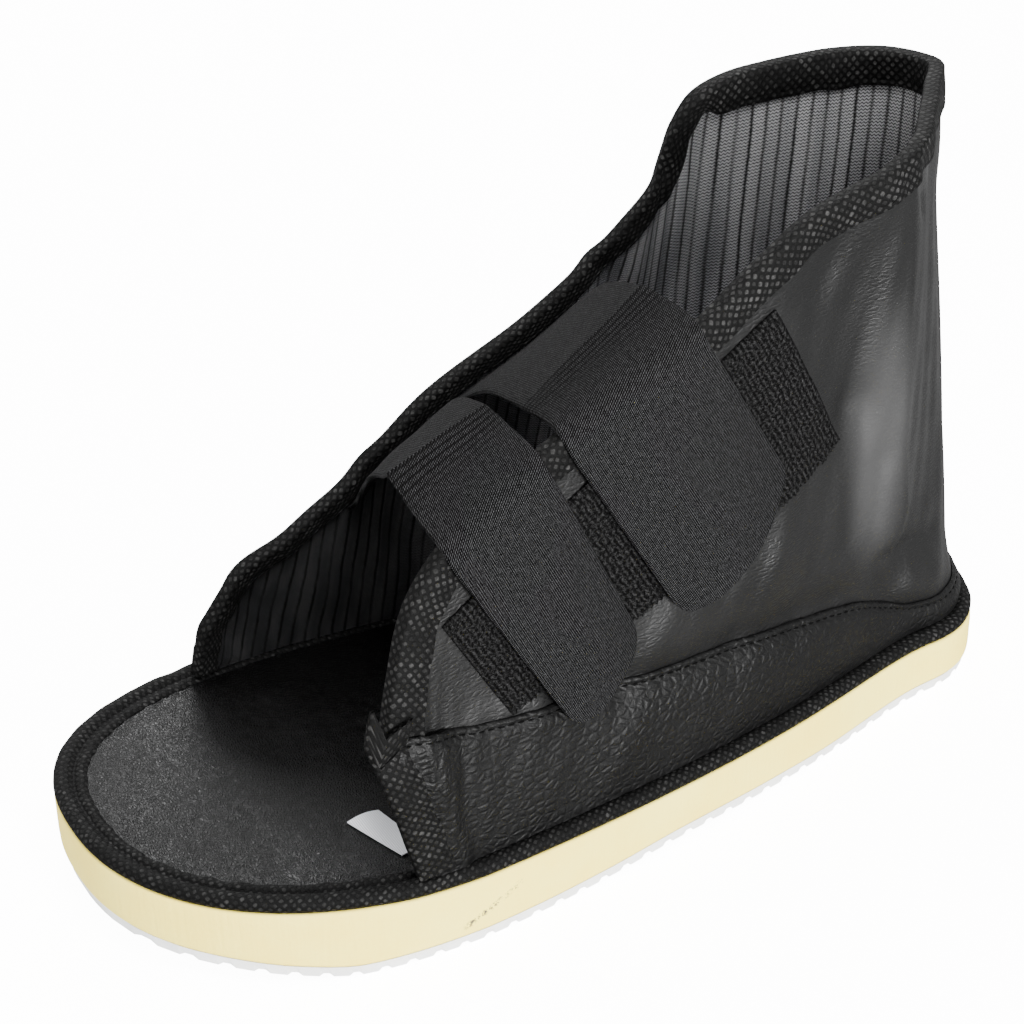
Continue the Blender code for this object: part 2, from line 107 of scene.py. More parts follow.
# Ribs of the wall, from the far front round the heel to the near front: degrees round the sole from
# the heel, and the free edge by shares of the sole's length, half the ball width, the shaft's height
RIBS = [
    # turn, edge along, edge across, edge up
    (-128.0, 0.209, -0.760, 0.140),
    (-124.0, 0.241, -0.745, 0.225),
    (-118.0, 0.293, -0.720, 0.280),
    (-108.0, 0.372, -0.690, 0.360),
    (-98.0, 0.455, -0.640, 0.490),
    (-87.0, 0.569, -0.585, 0.600),
    (-78.5, 0.648, -0.520, 0.710),
    (-72.5, 0.697, -0.455, 0.825),
    (-68.0, 0.711, -0.405, 0.915),
    (-63.0, 0.730, -0.375, 0.969),
    (-55.0, 0.785, -0.385, 0.989),
    (-42.0, 0.872, -0.375, 0.992),
    (-24.0, 0.934, -0.225, 0.994),
    (0.0, 0.955, 0.000, 0.995),
    (22.0, 0.917, 0.225, 0.993),
    (36.0, 0.870, 0.465, 0.991),
    (46.0, 0.810, 0.710, 0.982),
    (55.0, 0.766, 0.745, 0.958),
    (65.5, 0.700, 0.745, 0.925),
    (75.0, 0.638, 0.745, 0.865),
    (85.0, 0.566, 0.770, 0.790),
    (95.0, 0.472, 0.790, 0.720),
    (103.0, 0.397, 0.815, 0.660),
    (111.0, 0.307, 0.855, 0.575),
    (115.5, 0.262, 0.890, 0.490),
    (118.5, 0.238, 0.920, 0.375),
    (120.5, 0.226, 0.935, 0.270),
]

# Height of the lower side band, as a share of the shaft's height, along the ribs
BAND_TOP = [
    # rib, height
    (2.0, 0.140),
    (6.0, 0.160),
    (9.5, 0.145),
    (11.0, 0.095),
    (12.2, 0.055),
    (13.4, 0.048),
    (14.4, 0.050),
    (15.4, 0.068),
    (16.2, 0.105),
    (17.0, 0.140),
    (19.0, 0.182),
    (21.0, 0.207),
    (22.0, 0.222),
    (23.0, 0.236),
    (24.0, 0.256),
    (26.0, 0.282),
]

# Straps, each value first at the toe edge and then at the heel edge: near end and far end (along),
# crease (along, across, up), length down the near side, how far that end bulges, and its taper
STRAPS = {
    "strap_lower": dict(near=(0.296, 0.399), far=(0.372, 0.462), down=(0.070, 0.062), bulge=0.007,
                        taper=0.16, crease=((0.290, 0.480, 0.631), (0.394, 0.448, 0.696))),
    "strap_upper": dict(near=(0.421, 0.569), far=(0.482, 0.612), down=(0.069, 0.055), bulge=0.010,
                        taper=0.0, crease=((0.427, 0.480, 0.678), (0.562, 0.416, 0.819))),
}

# Hook patches: the top corner at the toe end (along, up), the length there down the side, the width,
# and the share by which the heel end is longer
PATCHES = {
    "hook_patch_lower": (0.290, 0.450, 0.037, 0.059, 0.32),
    "hook_patch_upper": (0.494, 0.635, 0.050, 0.053, 0.12),
}
PATCH_DOWN = (0.485, -0.875)

# Creases of the wall, listed one by one: ridges stand out, troughs go in
CREASES = [
    # from rib, from share, to rib, to share, width in mm, height in mm
    (17.5, 0.86, 17.2, 0.58, 15.0, -3.2),
    (17.0, 0.56, 16.5, 0.44, 9.0, -2.0),
    (17.2, 0.24, 16.6, 0.28, 9.0, 1.8),
    (14.7, 0.92, 14.7, 0.30, 10.0, -1.4),
    (13.8, 0.78, 13.9, 0.14, 13.0, -2.4),
    (15.4, 0.115, 14.9, 0.105, 8.5, 3.6),
    (18.6, 0.34, 20.4, 0.36, 12.0, 1.6),
    (17.4, 0.19, 20.8, 0.27, 6.0, -1.4),
    (19.4, 0.62, 18.4, 0.40, 13.0, 1.2),
    (16.9, 0.95, 17.6, 0.82, 6.0, 0.9),
    (15.8, 0.98, 15.4, 0.88, 5.0, -1.6),
    (5.9, 0.97, 6.9, 0.70, 5.0, 2.0),
    (7.3, 0.95, 7.4, 0.55, 6.0, -1.8),
    (9.3, 0.92, 9.4, 0.45, 9.0, 1.6),
    (11.2, 0.95, 11.3, 0.40, 8.0, -1.8),
    (12.2, 0.95, 12.3, 0.50, 7.0, 1.4),
    (0.9, 0.90, 0.8, 0.20, 6.0, -1.6),
    (3.3, 0.95, 4.0, 0.35, 7.0, 1.8),
    (2.2, 0.90, 2.9, 0.30, 8.0, -1.4),
    (24.2, 0.80, 24.5, 0.45, 9.0, 1.2),
    (21.9, 0.45, 20.9, 0.30, 9.0, -1.4),
    (22.8, 0.45, 21.8, 0.32, 6.0, 1.0),
]

# Folds of the wall with a crisp line: width in mm, then rib, share and height in mm along the line
FOLDS = [
    (9.0, [(15.95, 0.99, 0.8), (15.95, 0.62, 2.4), (15.90, 0.31, 3.8), (16.05, 0.20, 2.6)]),
    (4.5, [(16.4, 0.215, -1.2), (15.6, 0.200, -2.8), (14.6, 0.190, -1.6)]),
    (5.0, [(15.6, 0.05, -1.0), (16.2, 0.13, -1.8), (16.4, 0.20, -1.2)]),
]


def columns_of(table):
    """The columns of a table as arrays."""
    return [np.array(column, float) for column in zip(*table)]


SOLE_ALONG, SOLE_UNDER, SOLE_TOP = columns_of(SOLE_LINE)
RIB_TURN, RIB_ALONG, RIB_ACROSS, RIB_UP = columns_of(RIBS)
RIB_COUNT = np.arange(len(RIBS), dtype=float)
LAST_RIB = float(len(RIBS) - 1)
BAND_RIB, BAND_HEIGHT = columns_of(BAND_TOP)


def follow(xs, ys, x):
    """Values at x of a smooth curve through the points that never passes beyond them."""
    x = np.asarray(x, float)
    rise = np.diff(ys) / np.diff(xs)
    slope = np.empty(len(xs))
    slope[0], slope[-1] = rise[0], rise[-1]
    product = rise[:-1] * rise[1:]
    total = np.where(product > 0, rise[:-1] + rise[1:], 1.0)
    slope[1:-1] = np.where(product > 0, 2 * product / total, 0.0)
    i = np.clip(np.searchsorted(xs, x, side="right") - 1, 0, len(xs) - 2)
    step = xs[i + 1] - xs[i]
    t = (x - xs[i]) / step
    return (ys[i] * (1 + 2 * t) * (1 - t) ** 2 + slope[i] * step * t * (1 - t) ** 2
            + ys[i + 1] * t * t * (3 - 2 * t) + slope[i + 1] * step * t * t * (t - 1))


def ease(x, low, high):
    """Smooth step from 0 at low to 1 at high."""
    t = np.clip((np.asarray(x, float) - low) / (high - low), 0.0, 1.0)
    return t * t * (3 - 2 * t)


def waves(x, seed, pitch, count=5):
    """Sum of a few sines of about the given pitch, between about -1 and 1."""
    rng = np.random.default_rng(seed)
    total = np.zeros_like(np.asarray(x, float))
    for _ in range(count):
        total += np.sin(2 * np.pi * x / (pitch * rng.uniform(0.6, 1.6)) + rng.uniform(0, 2 * np.pi))
    return total / math.sqrt(count) / 1.3


def underside(y):
    """Height of the sole's underside above the floor."""
    return SOLE_HEIGHT * follow(SOLE_ALONG, SOLE_UNDER, y / SOLE_LENGTH + 0.5)


def sole_top(y):
    """Height of the midsole's top."""
    return SOLE_HEIGHT * follow(SOLE_ALONG, SOLE_TOP, y / SOLE_LENGTH + 0.5)


def half_width(y, inset):
    """Half width of the sole's outline, drawn in by an inset."""
    toe, heel = TOE_ROUND - inset, HEEL_ROUND - inset
    ball_y, heel_y = TOE_ROUND - HALF_LENGTH, HALF_LENGTH - HEEL_ROUND
    front = np.clip((ball_y - y) / toe, 0.0, 1.0)
    back = np.clip((y - heel_y) / heel, 0.0, 1.0)
    t = np.clip((y - ball_y) / (heel_y - ball_y), 0.0, 1.0)
    width = (BALL_WIDTH * (1 - t) * (1 - 2 * t) + 4 * WAIST_WIDTH * t * (1 - t)
             + HEEL_WIDTH * t * (2 * t - 1))
    bend = 4 * WAIST_WIDTH - BALL_WIDTH - 3 * HEEL_WIDTH
    width = width - 2 * bend * t ** 6 * (1 - t) * (t - 0.5)
    half = width / 2 - inset
    half = np.where(y < ball_y, half * (1 - front ** TOE_POWER) ** (1 / TOE_POWER), half)
    return np.where(y > heel_y, half * (1 - back ** HEEL_POWER) ** (1 / HEEL_POWER), half)


def outline(side, share, inset):
    """Plan point of the outline; share runs from -1 at the toe to 1 at the heel."""
    y = share * (HALF_LENGTH - inset)
    bow = SOLE_BOW * (1 - (y / HALF_LENGTH) ** 2)
    return bow + side * half_width(y, inset), y


def wall(u, s):
    """Points on the wall's outer face: u counts the ribs, s runs from the footbed to the edge."""
    u, s = np.broadcast_arrays(np.asarray(u, float), np.asarray(s, float))
    turn = np.radians(follow(RIB_COUNT, RIB_TURN, u))
    foot_x, foot_y = outline(np.where(turn < 0, -1.0, 1.0), np.cos(turn), WALL_INSET)
    edge_x = HALF_BALL * follow(RIB_COUNT, RIB_ACROSS, u)
    edge_y = SOLE_LENGTH * (follow(RIB_COUNT, RIB_ALONG, u) - 0.5)
    foot_z = sole_top(foot_y) + FOOTBED_THICK + TAPE_THICK + 3 * GAP
    edge_z = sole_top(edge_y) + SHAFT_HEIGHT * follow(RIB_COUNT, RIB_UP, u)
    lean = np.sign(s) * np.abs(s) ** WALL_LEAN
    return np.stack([foot_x + (edge_x - foot_x) * lean, foot_y + (edge_y - foot_y) * lean,
                     foot_z + (edge_z - foot_z) * s], -1)


def wall_slopes(u, s):
    """How the wall's outer face moves with u and with s."""
    u, s = np.broadcast_arrays(np.asarray(u, float), np.asarray(s, float))
    u0, u1 = np.maximum(u - 0.05, 0.0), np.minimum(u + 0.05, LAST_RIB)
    s0, s1 = np.clip(s - 0.01, 0.0, 0.98), np.clip(s + 0.01, 0.02, 1.0)
    return ((wall(u1, s) - wall(u0, s)) / (u1 - u0)[..., None],
            (wall(u, s1) - wall(u, s0)) / (s1 - s0)[..., None])


def unit(vectors):
    """The vectors at length 1."""
    vectors = np.asarray(vectors, float)
    return vectors / np.maximum(np.linalg.norm(vectors, axis=-1, keepdims=True), 1e-12)


def outward(u, s):
    """Outward direction of the wall, level at its foot."""
    along, up = wall_slopes(u, s)
    face = unit(np.cross(up, along))
    face[..., 2] *= np.clip(s, 0.0, LEVEL_FOOT) / LEVEL_FOOT
    return unit(face)


CREASE_ENDS = [(wall(a, b), wall(c, d), width * MM, height * MM)
               for a, b, c, d, width, height in CREASES]


def stretch_to(spots, start, end):
    """Share of the stretch that is nearest to each spot, and the distance to it."""
    run = end - start
    t = np.clip(((spots - start) @ run) / (run @ run), 0.0, 1.0)
    return t, np.linalg.norm(spots - (start + t[..., None] * run), axis=-1)


def relief(u, s):
    """How far creases and slack push the wall out."""
    u, s = np.broadcast_arrays(np.asarray(u, float), np.asarray(s, float))
    spots = wall(u, s)
    total = np.zeros(spots.shape[:-1])
    for start, end, width, height in CREASE_ENDS:
        total += height * np.exp(-(stretch_to(spots, start, end)[1] / width) ** 2)
    for width, line in FOLDS:
        ends = [(wall(a, b), high) for a, b, high in line]
        nearest = np.full(total.shape, 1.0)
        height = np.zeros(total.shape)
        for (start, low), (end, high) in zip(ends, ends[1:]):
            t, away = stretch_to(spots, start, end)
            height = np.where(away < nearest, low + (high - low) * t, height)
            nearest = np.minimum(nearest, away)
        crisp = np.sqrt(nearest ** 2 + (0.7 * MM) ** 2) - 0.7 * MM
        total += height * MM * np.exp(-crisp / (width * MM))
    slack = 0.35 * MM * waves(u, 3, 1.7) * np.sin(np.pi * np.clip(s, 0, 1))
    slack = slack + 0.25 * MM * waves(u + 2.2 * s, 5, 0.9) * np.sin(np.pi * np.clip(s, 0, 1))
    under_straps = ease(u, 18.2, 19.5) * ease(-u, -24.2, -23.2) * ease(s, 0.38, 0.52)
    return (total + slack) * ease(s, 0.0, 0.08) * (1 - 0.9 * under_straps)


def skin(u, s, out):
    """Points a distance out from the wall's outer face, creases included."""
    return wall(u, s) + outward(u, s) * (out + relief(u, s))[..., None]


def march(u, s, direction, distance, steps=4):
    """Wall coordinates reached by going a distance over the face in a direction."""
    for _ in range(steps):
        along, up = wall_slopes(u, s)
        aa, bb = (along * along).sum(-1), (up * up).sum(-1)
        ab = (along * up).sum(-1)
        goal = direction * distance / steps
        ga, gb = (goal * along).sum(-1), (goal * up).sum(-1)
        scale = aa * bb - ab * ab
        u = np.clip(u + (ga * bb - gb * ab) / scale, 0.0, LAST_RIB)
        s = np.clip(s + (gb * aa - ga * ab) / scale, -0.02, 1.0)
    return u, s


def near_side(y, z):
    """Wall coordinates of the near side's points with these y and z."""
    y, z = np.broadcast_arrays(np.asarray(y, float), np.asarray(z, float))
    u, s = np.full(y.shape, LAST_RIB - 4.0), np.full(y.shape, 0.5)
    for _ in range(30):
        along, up = wall_slopes(u, s)
        spot = wall(u, s)
        miss_y, miss_z = y - spot[..., 1], z - spot[..., 2]
        scale = along[..., 1] * up[..., 2] - along[..., 2] * up[..., 1]
        u = np.clip(u + 0.7 * (miss_y * up[..., 2] - miss_z * up[..., 1]) / scale,
                    LAST_RIB / 2, LAST_RIB)
        s = np.clip(s + 0.7 * (along[..., 1] * miss_z - along[..., 2] * miss_y) / scale, 0.0, 1.0)
    return u, s


def side_points(y, z, out):
    """Points over the near side with these y and z."""
    return skin(*near_side(y, z), out)


def lengths(points):
    """Distance run along a row of points."""
    steps = np.linalg.norm(np.diff(points, axis=0), axis=-1)
    return np.concatenate([[0.0], np.cumsum(steps)])


def glide(points, parts):
    """Smooth curves through rows of points, each stretch cut into parts."""
    points = np.asarray(points, float)
    padded = np.concatenate([2 * points[:1] - points[1:2], points, 2 * points[-1:] - points[-2:-1]])
    curve = []
    for a, b, c, d in zip(padded, padded[1:], padded[2:], padded[3:]):
        for k in range(parts):
            t = k / parts
            curve.append(0.5 * (2 * b + (c - a) * t + (2 * a - 5 * b + 4 * c - d) * t ** 2
                                + (3 * b - a - 3 * c + d) * t ** 3))
    return np.array(curve + [points[-1]])


def resample(points, count):
    """Rows of points spread evenly along the way, judged by the middle of each row."""
    run = lengths(points[:, points.shape[1] // 2])
    goal = np.linspace(0, run[-1], count)
    flat = points.reshape(len(points), -1)
    made = np.stack([np.interp(goal, run, column) for column in flat.T], -1)
    return made.reshape((count,) + points.shape[1:])


def lay_mesh(name, points, material, marks, nodes, ring=False, caps=False, sharp=50):
    """A tube over a grid of points, its last column joined to the first, with marks in metres.

    The marks are its texture places. ring joins the last row to the first, and caps closes both ends.
    """
    points = np.array(points, float)
    points[..., 0] -= CENTRE_SHIFT
    n, m = points.shape[:2]
    rows = np.arange(n if ring else n - 1)
    i, j = (grid.ravel() for grid in np.meshgrid(rows, np.arange(m), indexing="ij"))
    k, l = (i + 1) % n, (j + 1) % m
    quads = np.stack([i * m + j, i * m + l, k * m + l, k * m + j], 1)
    faces = quads.tolist()
    if caps:
        for start in (0, (n - 1) * m):
            faces += [(start + c, start + c + 1, start + m - 2 - c, start + m - 1 - c)
                      for c in range(m // 2 - 1)]
    mesh = bpy.data.meshes.new(name)
    mesh.from_pydata(points.reshape(-1, 3).tolist(), [], faces)
    places = np.stack([marks[i, j], marks[i, j + 1], marks[i + 1, j + 1], marks[i + 1, j]], 1)
    spare = np.zeros((4 * (len(faces) - len(quads)), 2))
    layer = mesh.uv_layers.new(name="cloth")
    layer.uv.foreach_set("vector", np.concatenate([places.reshape(-1, 2), spare]).ravel())
    mesh.materials.append(material)
    work = bmesh.new()
    work.from_mesh(mesh)
    bmesh.ops.recalc_face_normals(work, faces=work.faces)
    if work.calc_volume(signed=True) < 0:
        bmesh.ops.reverse_faces(work, faces=work.faces)
    work.to_mesh(mesh)
    work.free()
    mesh.shade_smooth()
    mesh.set_sharp_from_angle(angle=math.radians(sharp))
    return dress(bpy.data.objects.new(name, mesh), nodes)


def dress(piece, nodes):
    """Puts a piece in the scene, on the shoe and the nodes that it stands for."""
    bpy.context.scene.collection.objects.link(piece)
    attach(piece, "root")
    if nodes:
        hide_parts(*nodes)
    return piece


def grid_marks(points, first=None, second=None):
    """Texture places for a grid, with one more row and column for a ring and a tube."""
    n, m = points.shape[:2]
    around = np.concatenate([points, points[:, :1]], 1)
    down = np.concatenate([points, points[:1]], 0)
    u = lengths(down[:, m // 2]) if first is None else np.append(first, 2 * first[-1] - first[-2])
    v = lengths(around[n // 2]) if second is None else np.append(second, second[0])
    return np.stack(np.meshgrid(u, v, indexing="ij"), -1)


# Shader helpers


def node(tree, kind, inputs=(), **settings):
    """A node with its settings and its inputs, each a value or a socket."""
    made = tree.nodes.new(kind)
    for key, value in settings.items():
        setattr(made, key, value)
    for key, value in dict(inputs).items():
        if isinstance(value, bpy.types.NodeSocket):
            tree.links.new(value, made.inputs[key])
        else:
            made.inputs[key].default_value = value
    return made


def sums(tree, operation, *values, clamp=False):
    """Output of a Math node."""
    made = node(tree, "ShaderNodeMath", dict(enumerate(values)), operation=operation)
    made.use_clamp = clamp
    return made.outputs[0]


def spread(tree, value, low, high, to_low=0.0, to_high=1.0):
    """A value moved from one range to another, smoothly and within its limits."""
    made = node(tree, "ShaderNodeMapRange", {"Value": value, "From Min": low, "From Max": high,
                                             "To Min": to_low, "To Max": to_high},
                interpolation_type="SMOOTHSTEP")
    return made.outputs["Result"]


def speckle(tree, place, size, detail=2.0, rough=0.5):
    """Noise with grains of the given size, in metres."""
    made = node(tree, "ShaderNodeTexNoise", {"Vector": place, "Scale": 1.0 / size, "Detail": detail,
                                             "Roughness": rough})
    return made.outputs["Fac"]


def axis_of(tree, place, axis):
    """Place along one axis."""
    return node(tree, "ShaderNodeSeparateXYZ", {0: place}).outputs[axis]


def blend_colours(tree, share, first, second):
    """Mix of two colours by a share."""
    made = node(tree, "ShaderNodeMix", data_type="RGBA")
    for key, value in ((0, share), (6, first), (7, second)):
        if isinstance(value, bpy.types.NodeSocket):
            tree.links.new(value, made.inputs[key])
        else:
            made.inputs[key].default_value = value
    return made.outputs[2]


def grey(level, tint=(1.0, 1.0, 1.0)):
    """A colour from a grey level and a tint."""
    return (level * tint[0], level * tint[1], level * tint[2], 1.0)


def new_group(name, values, results):
    """An empty node group with named number inputs, a Place vector, and named outputs."""
    tree = bpy.data.node_groups.new(name, "ShaderNodeTree")
    tree.interface.new_socket("Place", in_out="INPUT", socket_type="NodeSocketVector")
    for label, value in values.items():
        made = tree.interface.new_socket(label, in_out="INPUT", socket_type="NodeSocketFloat")
        made.default_value = value
    for label in results:
        tree.interface.new_socket(label, in_out="OUTPUT", socket_type="NodeSocketFloat")
    return tree, tree.nodes.new("NodeGroupInput"), tree.nodes.new("NodeGroupOutput")


def use_group(tree, group, place, **values):
    """A group placed in a material with its own values."""
    made = tree.nodes.new("ShaderNodeGroup")
    made.node_tree = group
    tree.links.new(place, made.inputs["Place"])
    for label, value in values.items():
        made.inputs[label.replace("_", " ")].default_value = value
    return made.outputs


def across(tree, place, size, axis):
    """Place along one axis, counted in cells of a size."""
    return sums(tree, "DIVIDE", axis_of(tree, place, axis), size)


def pebbled_grain():
    """Rounded grains between fine creases, as on embossed imitation leather."""
    tree, get, put = new_group("pebbled grain", {"Grain Size": 0.0019, "Stretch": 1.35, "Warp": 0.35},
                               ["Height", "Creases"])
    place = get.outputs["Place"]
    size = get.outputs["Grain Size"]
    scale = sums(tree, "DIVIDE", 1.0, size)
    bend = node(tree, "ShaderNodeTexNoise", {"Vector": place, "Scale": sums(tree, "DIVIDE", scale, 2.6),
                                             "Detail": 2.0})
    off = node(tree, "ShaderNodeVectorMath", {0: bend.outputs["Color"], 1: (0.5, 0.5, 0.5)},
               operation="SUBTRACT")
    amount = sums(tree, "MULTIPLY", sums(tree, "MULTIPLY", size, get.outputs["Warp"]), 6.0)
    push = node(tree, "ShaderNodeVectorMath", {0: off.outputs[0], "Scale": amount}, operation="SCALE")
    moved = node(tree, "ShaderNodeVectorMath", {0: place, 1: push.outputs[0]}, operation="ADD")
    shape = node(tree, "ShaderNodeCombineXYZ", {0: 1.0, 1: sums(tree, "DIVIDE", 1.0,
                                                                 get.outputs["Stretch"]), 2: 1.0})
    drawn = node(tree, "ShaderNodeVectorMath", {0: moved.outputs[0], 1: shape.outputs[0]},
                 operation="MULTIPLY")
    edge = node(tree, "ShaderNodeTexVoronoi", {"Vector": drawn.outputs[0], "Scale": scale,
                                               "Randomness": 0.95}, feature="DISTANCE_TO_EDGE")
    fine = node(tree, "ShaderNodeTexVoronoi",
                {"Vector": drawn.outputs[0], "Scale": sums(tree, "MULTIPLY", scale, 2.3),
                 "Randomness": 1.0}, feature="DISTANCE_TO_EDGE")
    mounds = spread(tree, edge.outputs["Distance"], 0.0, 0.30)
    small = spread(tree, fine.outputs["Distance"], 0.0, 0.22)
    height = sums(tree, "ADD", mounds, sums(tree, "MULTIPLY", small, 0.18))
    tree.links.new(height, put.inputs["Height"])
    tree.links.new(sums(tree, "SUBTRACT", 1.0, spread(tree, edge.outputs["Distance"], 0.0, 0.12)),
                   put.inputs["Creases"])
    return tree


def embossed_dots():
    """Staggered diamond dots pressed into binding tape, each a little brighter or darker."""
    tree, get, put = new_group("embossed dots", {"Pitch": 0.0034}, ["Dots", "Height"])
    place = get.outputs["Place"]
    wobble = node(tree, "ShaderNodeTexNoise", {"Vector": place, "Scale": 260.0, "Detail": 1.0})
    off = node(tree, "ShaderNodeVectorMath", {0: wobble.outputs["Color"], "Scale": 0.0009},
               operation="SCALE")
    moved = node(tree, "ShaderNodeVectorMath", {0: place, 1: off.outputs[0]}, operation="ADD")
    along = across(tree, moved.outputs[0], get.outputs["Pitch"], 0)
    over = across(tree, moved.outputs[0], get.outputs["Pitch"], 1)
    first, second = sums(tree, "ADD", along, over), sums(tree, "SUBTRACT", along, over)
    away = [sums(tree, "ABSOLUTE", sums(tree, "SUBTRACT", sums(tree, "FRACT", value), 0.5))
            for value in (first, second)]
    cell = node(tree, "ShaderNodeCombineXYZ", {0: sums(tree, "FLOOR", first),
                                               1: sums(tree, "FLOOR", second), 2: 0.0})
    luck = node(tree, "ShaderNodeTexWhiteNoise", {"Vector": cell.outputs[0]}, noise_dimensions="3D")
    square = sums(tree, "POWER", sums(tree, "ADD", sums(tree, "POWER", away[0], 3.0),
                                      sums(tree, "POWER", away[1], 3.0)), 1.0 / 3.0)
    dot = spread(tree, square, 0.22, 0.40, 1.0, 0.0)
    bright = spread(tree, luck.outputs["Value"], 0.2, 1.0, 0.28, 1.0)
    patchy = sums(tree, "MULTIPLY", spread(tree, speckle(tree, place, 0.0016, 3.0, 0.7), 0.35, 0.65,
                                           0.3, 1.0),
                  spread(tree, speckle(tree, place, 0.012, 2.0, 0.5), 0.35, 0.60, 0.45, 1.0))
    tree.links.new(sums(tree, "MULTIPLY", sums(tree, "MULTIPLY", dot, bright), patchy),
                   put.inputs["Dots"])
    fibres = sums(tree, "MULTIPLY", speckle(tree, place, 0.0005, 3.0, 0.7), 0.5)
    tree.links.new(sums(tree, "ADD", sums(tree, "MULTIPLY", dot, -0.6), fibres),
                   put.inputs["Height"])
    return tree


def knitted_ribs():
    """Knit with dark rib lines along the second axis and fine rows of loops between them."""
    tree, get, put = new_group("knitted ribs", {"Rib Pitch": 0.0050, "Loop Pitch": 0.00105},
                               ["Line", "Loops", "Height"])
    place = get.outputs["Place"]
    drift = node(tree, "ShaderNodeTexNoise", {"Vector": place, "Scale": 60.0, "Detail": 1.0})
    rib = sums(tree, "ADD", across(tree, place, get.outputs["Rib Pitch"], 0),
               sums(tree, "MULTIPLY", drift.outputs["Fac"], 0.12))
    part = sums(tree, "ABSOLUTE", sums(tree, "SUBTRACT", sums(tree, "FRACT", rib), 0.5))
    torn = sums(tree, "MULTIPLY", speckle(tree, place, 0.0012, 2.0, 0.6), 0.16)
    line = spread(tree, sums(tree, "ADD", part, torn), 0.08, 0.27, 1.0, 0.0)
    wale = sums(tree, "ABSOLUTE", sums(tree, "SUBTRACT", sums(tree, "FRACT", sums(
        tree, "MULTIPLY", rib, 4.0)), 0.5))
    row = sums(tree, "ADD", across(tree, place, get.outputs["Loop Pitch"], 1),
               sums(tree, "MULTIPLY", wale, 1.1))
    loop = sums(tree, "SINE", sums(tree, "MULTIPLY", row, 2 * math.pi))
    grain = speckle(tree, place, 0.0007, 2.0, 0.6)
    loops = sums(tree, "ADD", sums(tree, "MULTIPLY", loop, 0.42),
                 sums(tree, "ADD", sums(tree, "MULTIPLY", grain, 0.7), 0.15), clamp=True)
    tree.links.new(line, put.inputs["Line"])
    tree.links.new(loops, put.inputs["Loops"])
    tree.links.new(sums(tree, "SUBTRACT", sums(tree, "MULTIPLY", loops, 0.5), line),
                   put.inputs["Height"])
    return tree


def speckled_weave():
    """Napped narrow weave: a fine twill broken by light specks."""
    tree, get, put = new_group("speckled weave", {"Thread": 0.00062}, ["Specks", "Height"])
    place = get.outputs["Place"]
    thread = get.outputs["Thread"]
    along, over = across(tree, place, thread, 0), across(tree, place, thread, 1)
    twill = sums(tree, "SINE", sums(tree, "MULTIPLY", sums(tree, "ADD", along, sums(
        tree, "MULTIPLY", over, 0.5)), 2 * math.pi))
    plain = sums(tree, "SINE", sums(tree, "MULTIPLY", over, 2 * math.pi))
    weave = sums(tree, "MULTIPLY", sums(tree, "ADD", twill, sums(tree, "MULTIPLY", plain, 0.6)), 0.25)
    fuzz = speckle(tree, place, 0.00055, 3.0, 0.75)
    coarse = speckle(tree, place, 0.0016, 2.0, 0.6)
    mixed = sums(tree, "ADD", weave, sums(tree, "ADD", fuzz, sums(tree, "MULTIPLY", coarse, 0.35)))
    tree.links.new(spread(tree, mixed, 0.60, 1.10), put.inputs["Specks"])
    tree.links.new(mixed, put.inputs["Height"])
    return tree


GRAIN = pebbled_grain()
DOTS = embossed_dots()
KNIT = knitted_ribs()
WEAVE = speckled_weave()


def finish(name, roughness, specular):
    """A new material with its tree and its shader."""
    made = bpy.data.materials.new(name)
    made.use_nodes = True
    tree = made.node_tree
    shader = tree.nodes["Principled BSDF"]
    shader.inputs["Roughness"].default_value = roughness
    shader.inputs["Specular IOR Level"].default_value = specular
    return made, tree, shader


def cloth_place(tree):
    """Place on the flat cloth, in metres."""
    return node(tree, "ShaderNodeUVMap", uv_map="cloth").outputs["UV"]


def solid_place(tree):
    """Place in the piece, in metres."""
    return node(tree, "ShaderNodeTexCoord").outputs["Object"]


def paint(tree, shader, colour, height, depth):
    """Gives the shader its colour, and a bump of the given depth in metres."""
    bump = node(tree, "ShaderNodeBump", {"Height": height, "Distance": depth, "Strength": 1.0})
    tree.links.new(colour, shader.inputs["Base Color"])
    tree.links.new(bump.outputs["Normal"], shader.inputs["Normal"])


# Grey of the painted highlight that stands in for light on the heel quarter
PAINTED_HIGHLIGHT_LEVEL = 0.024


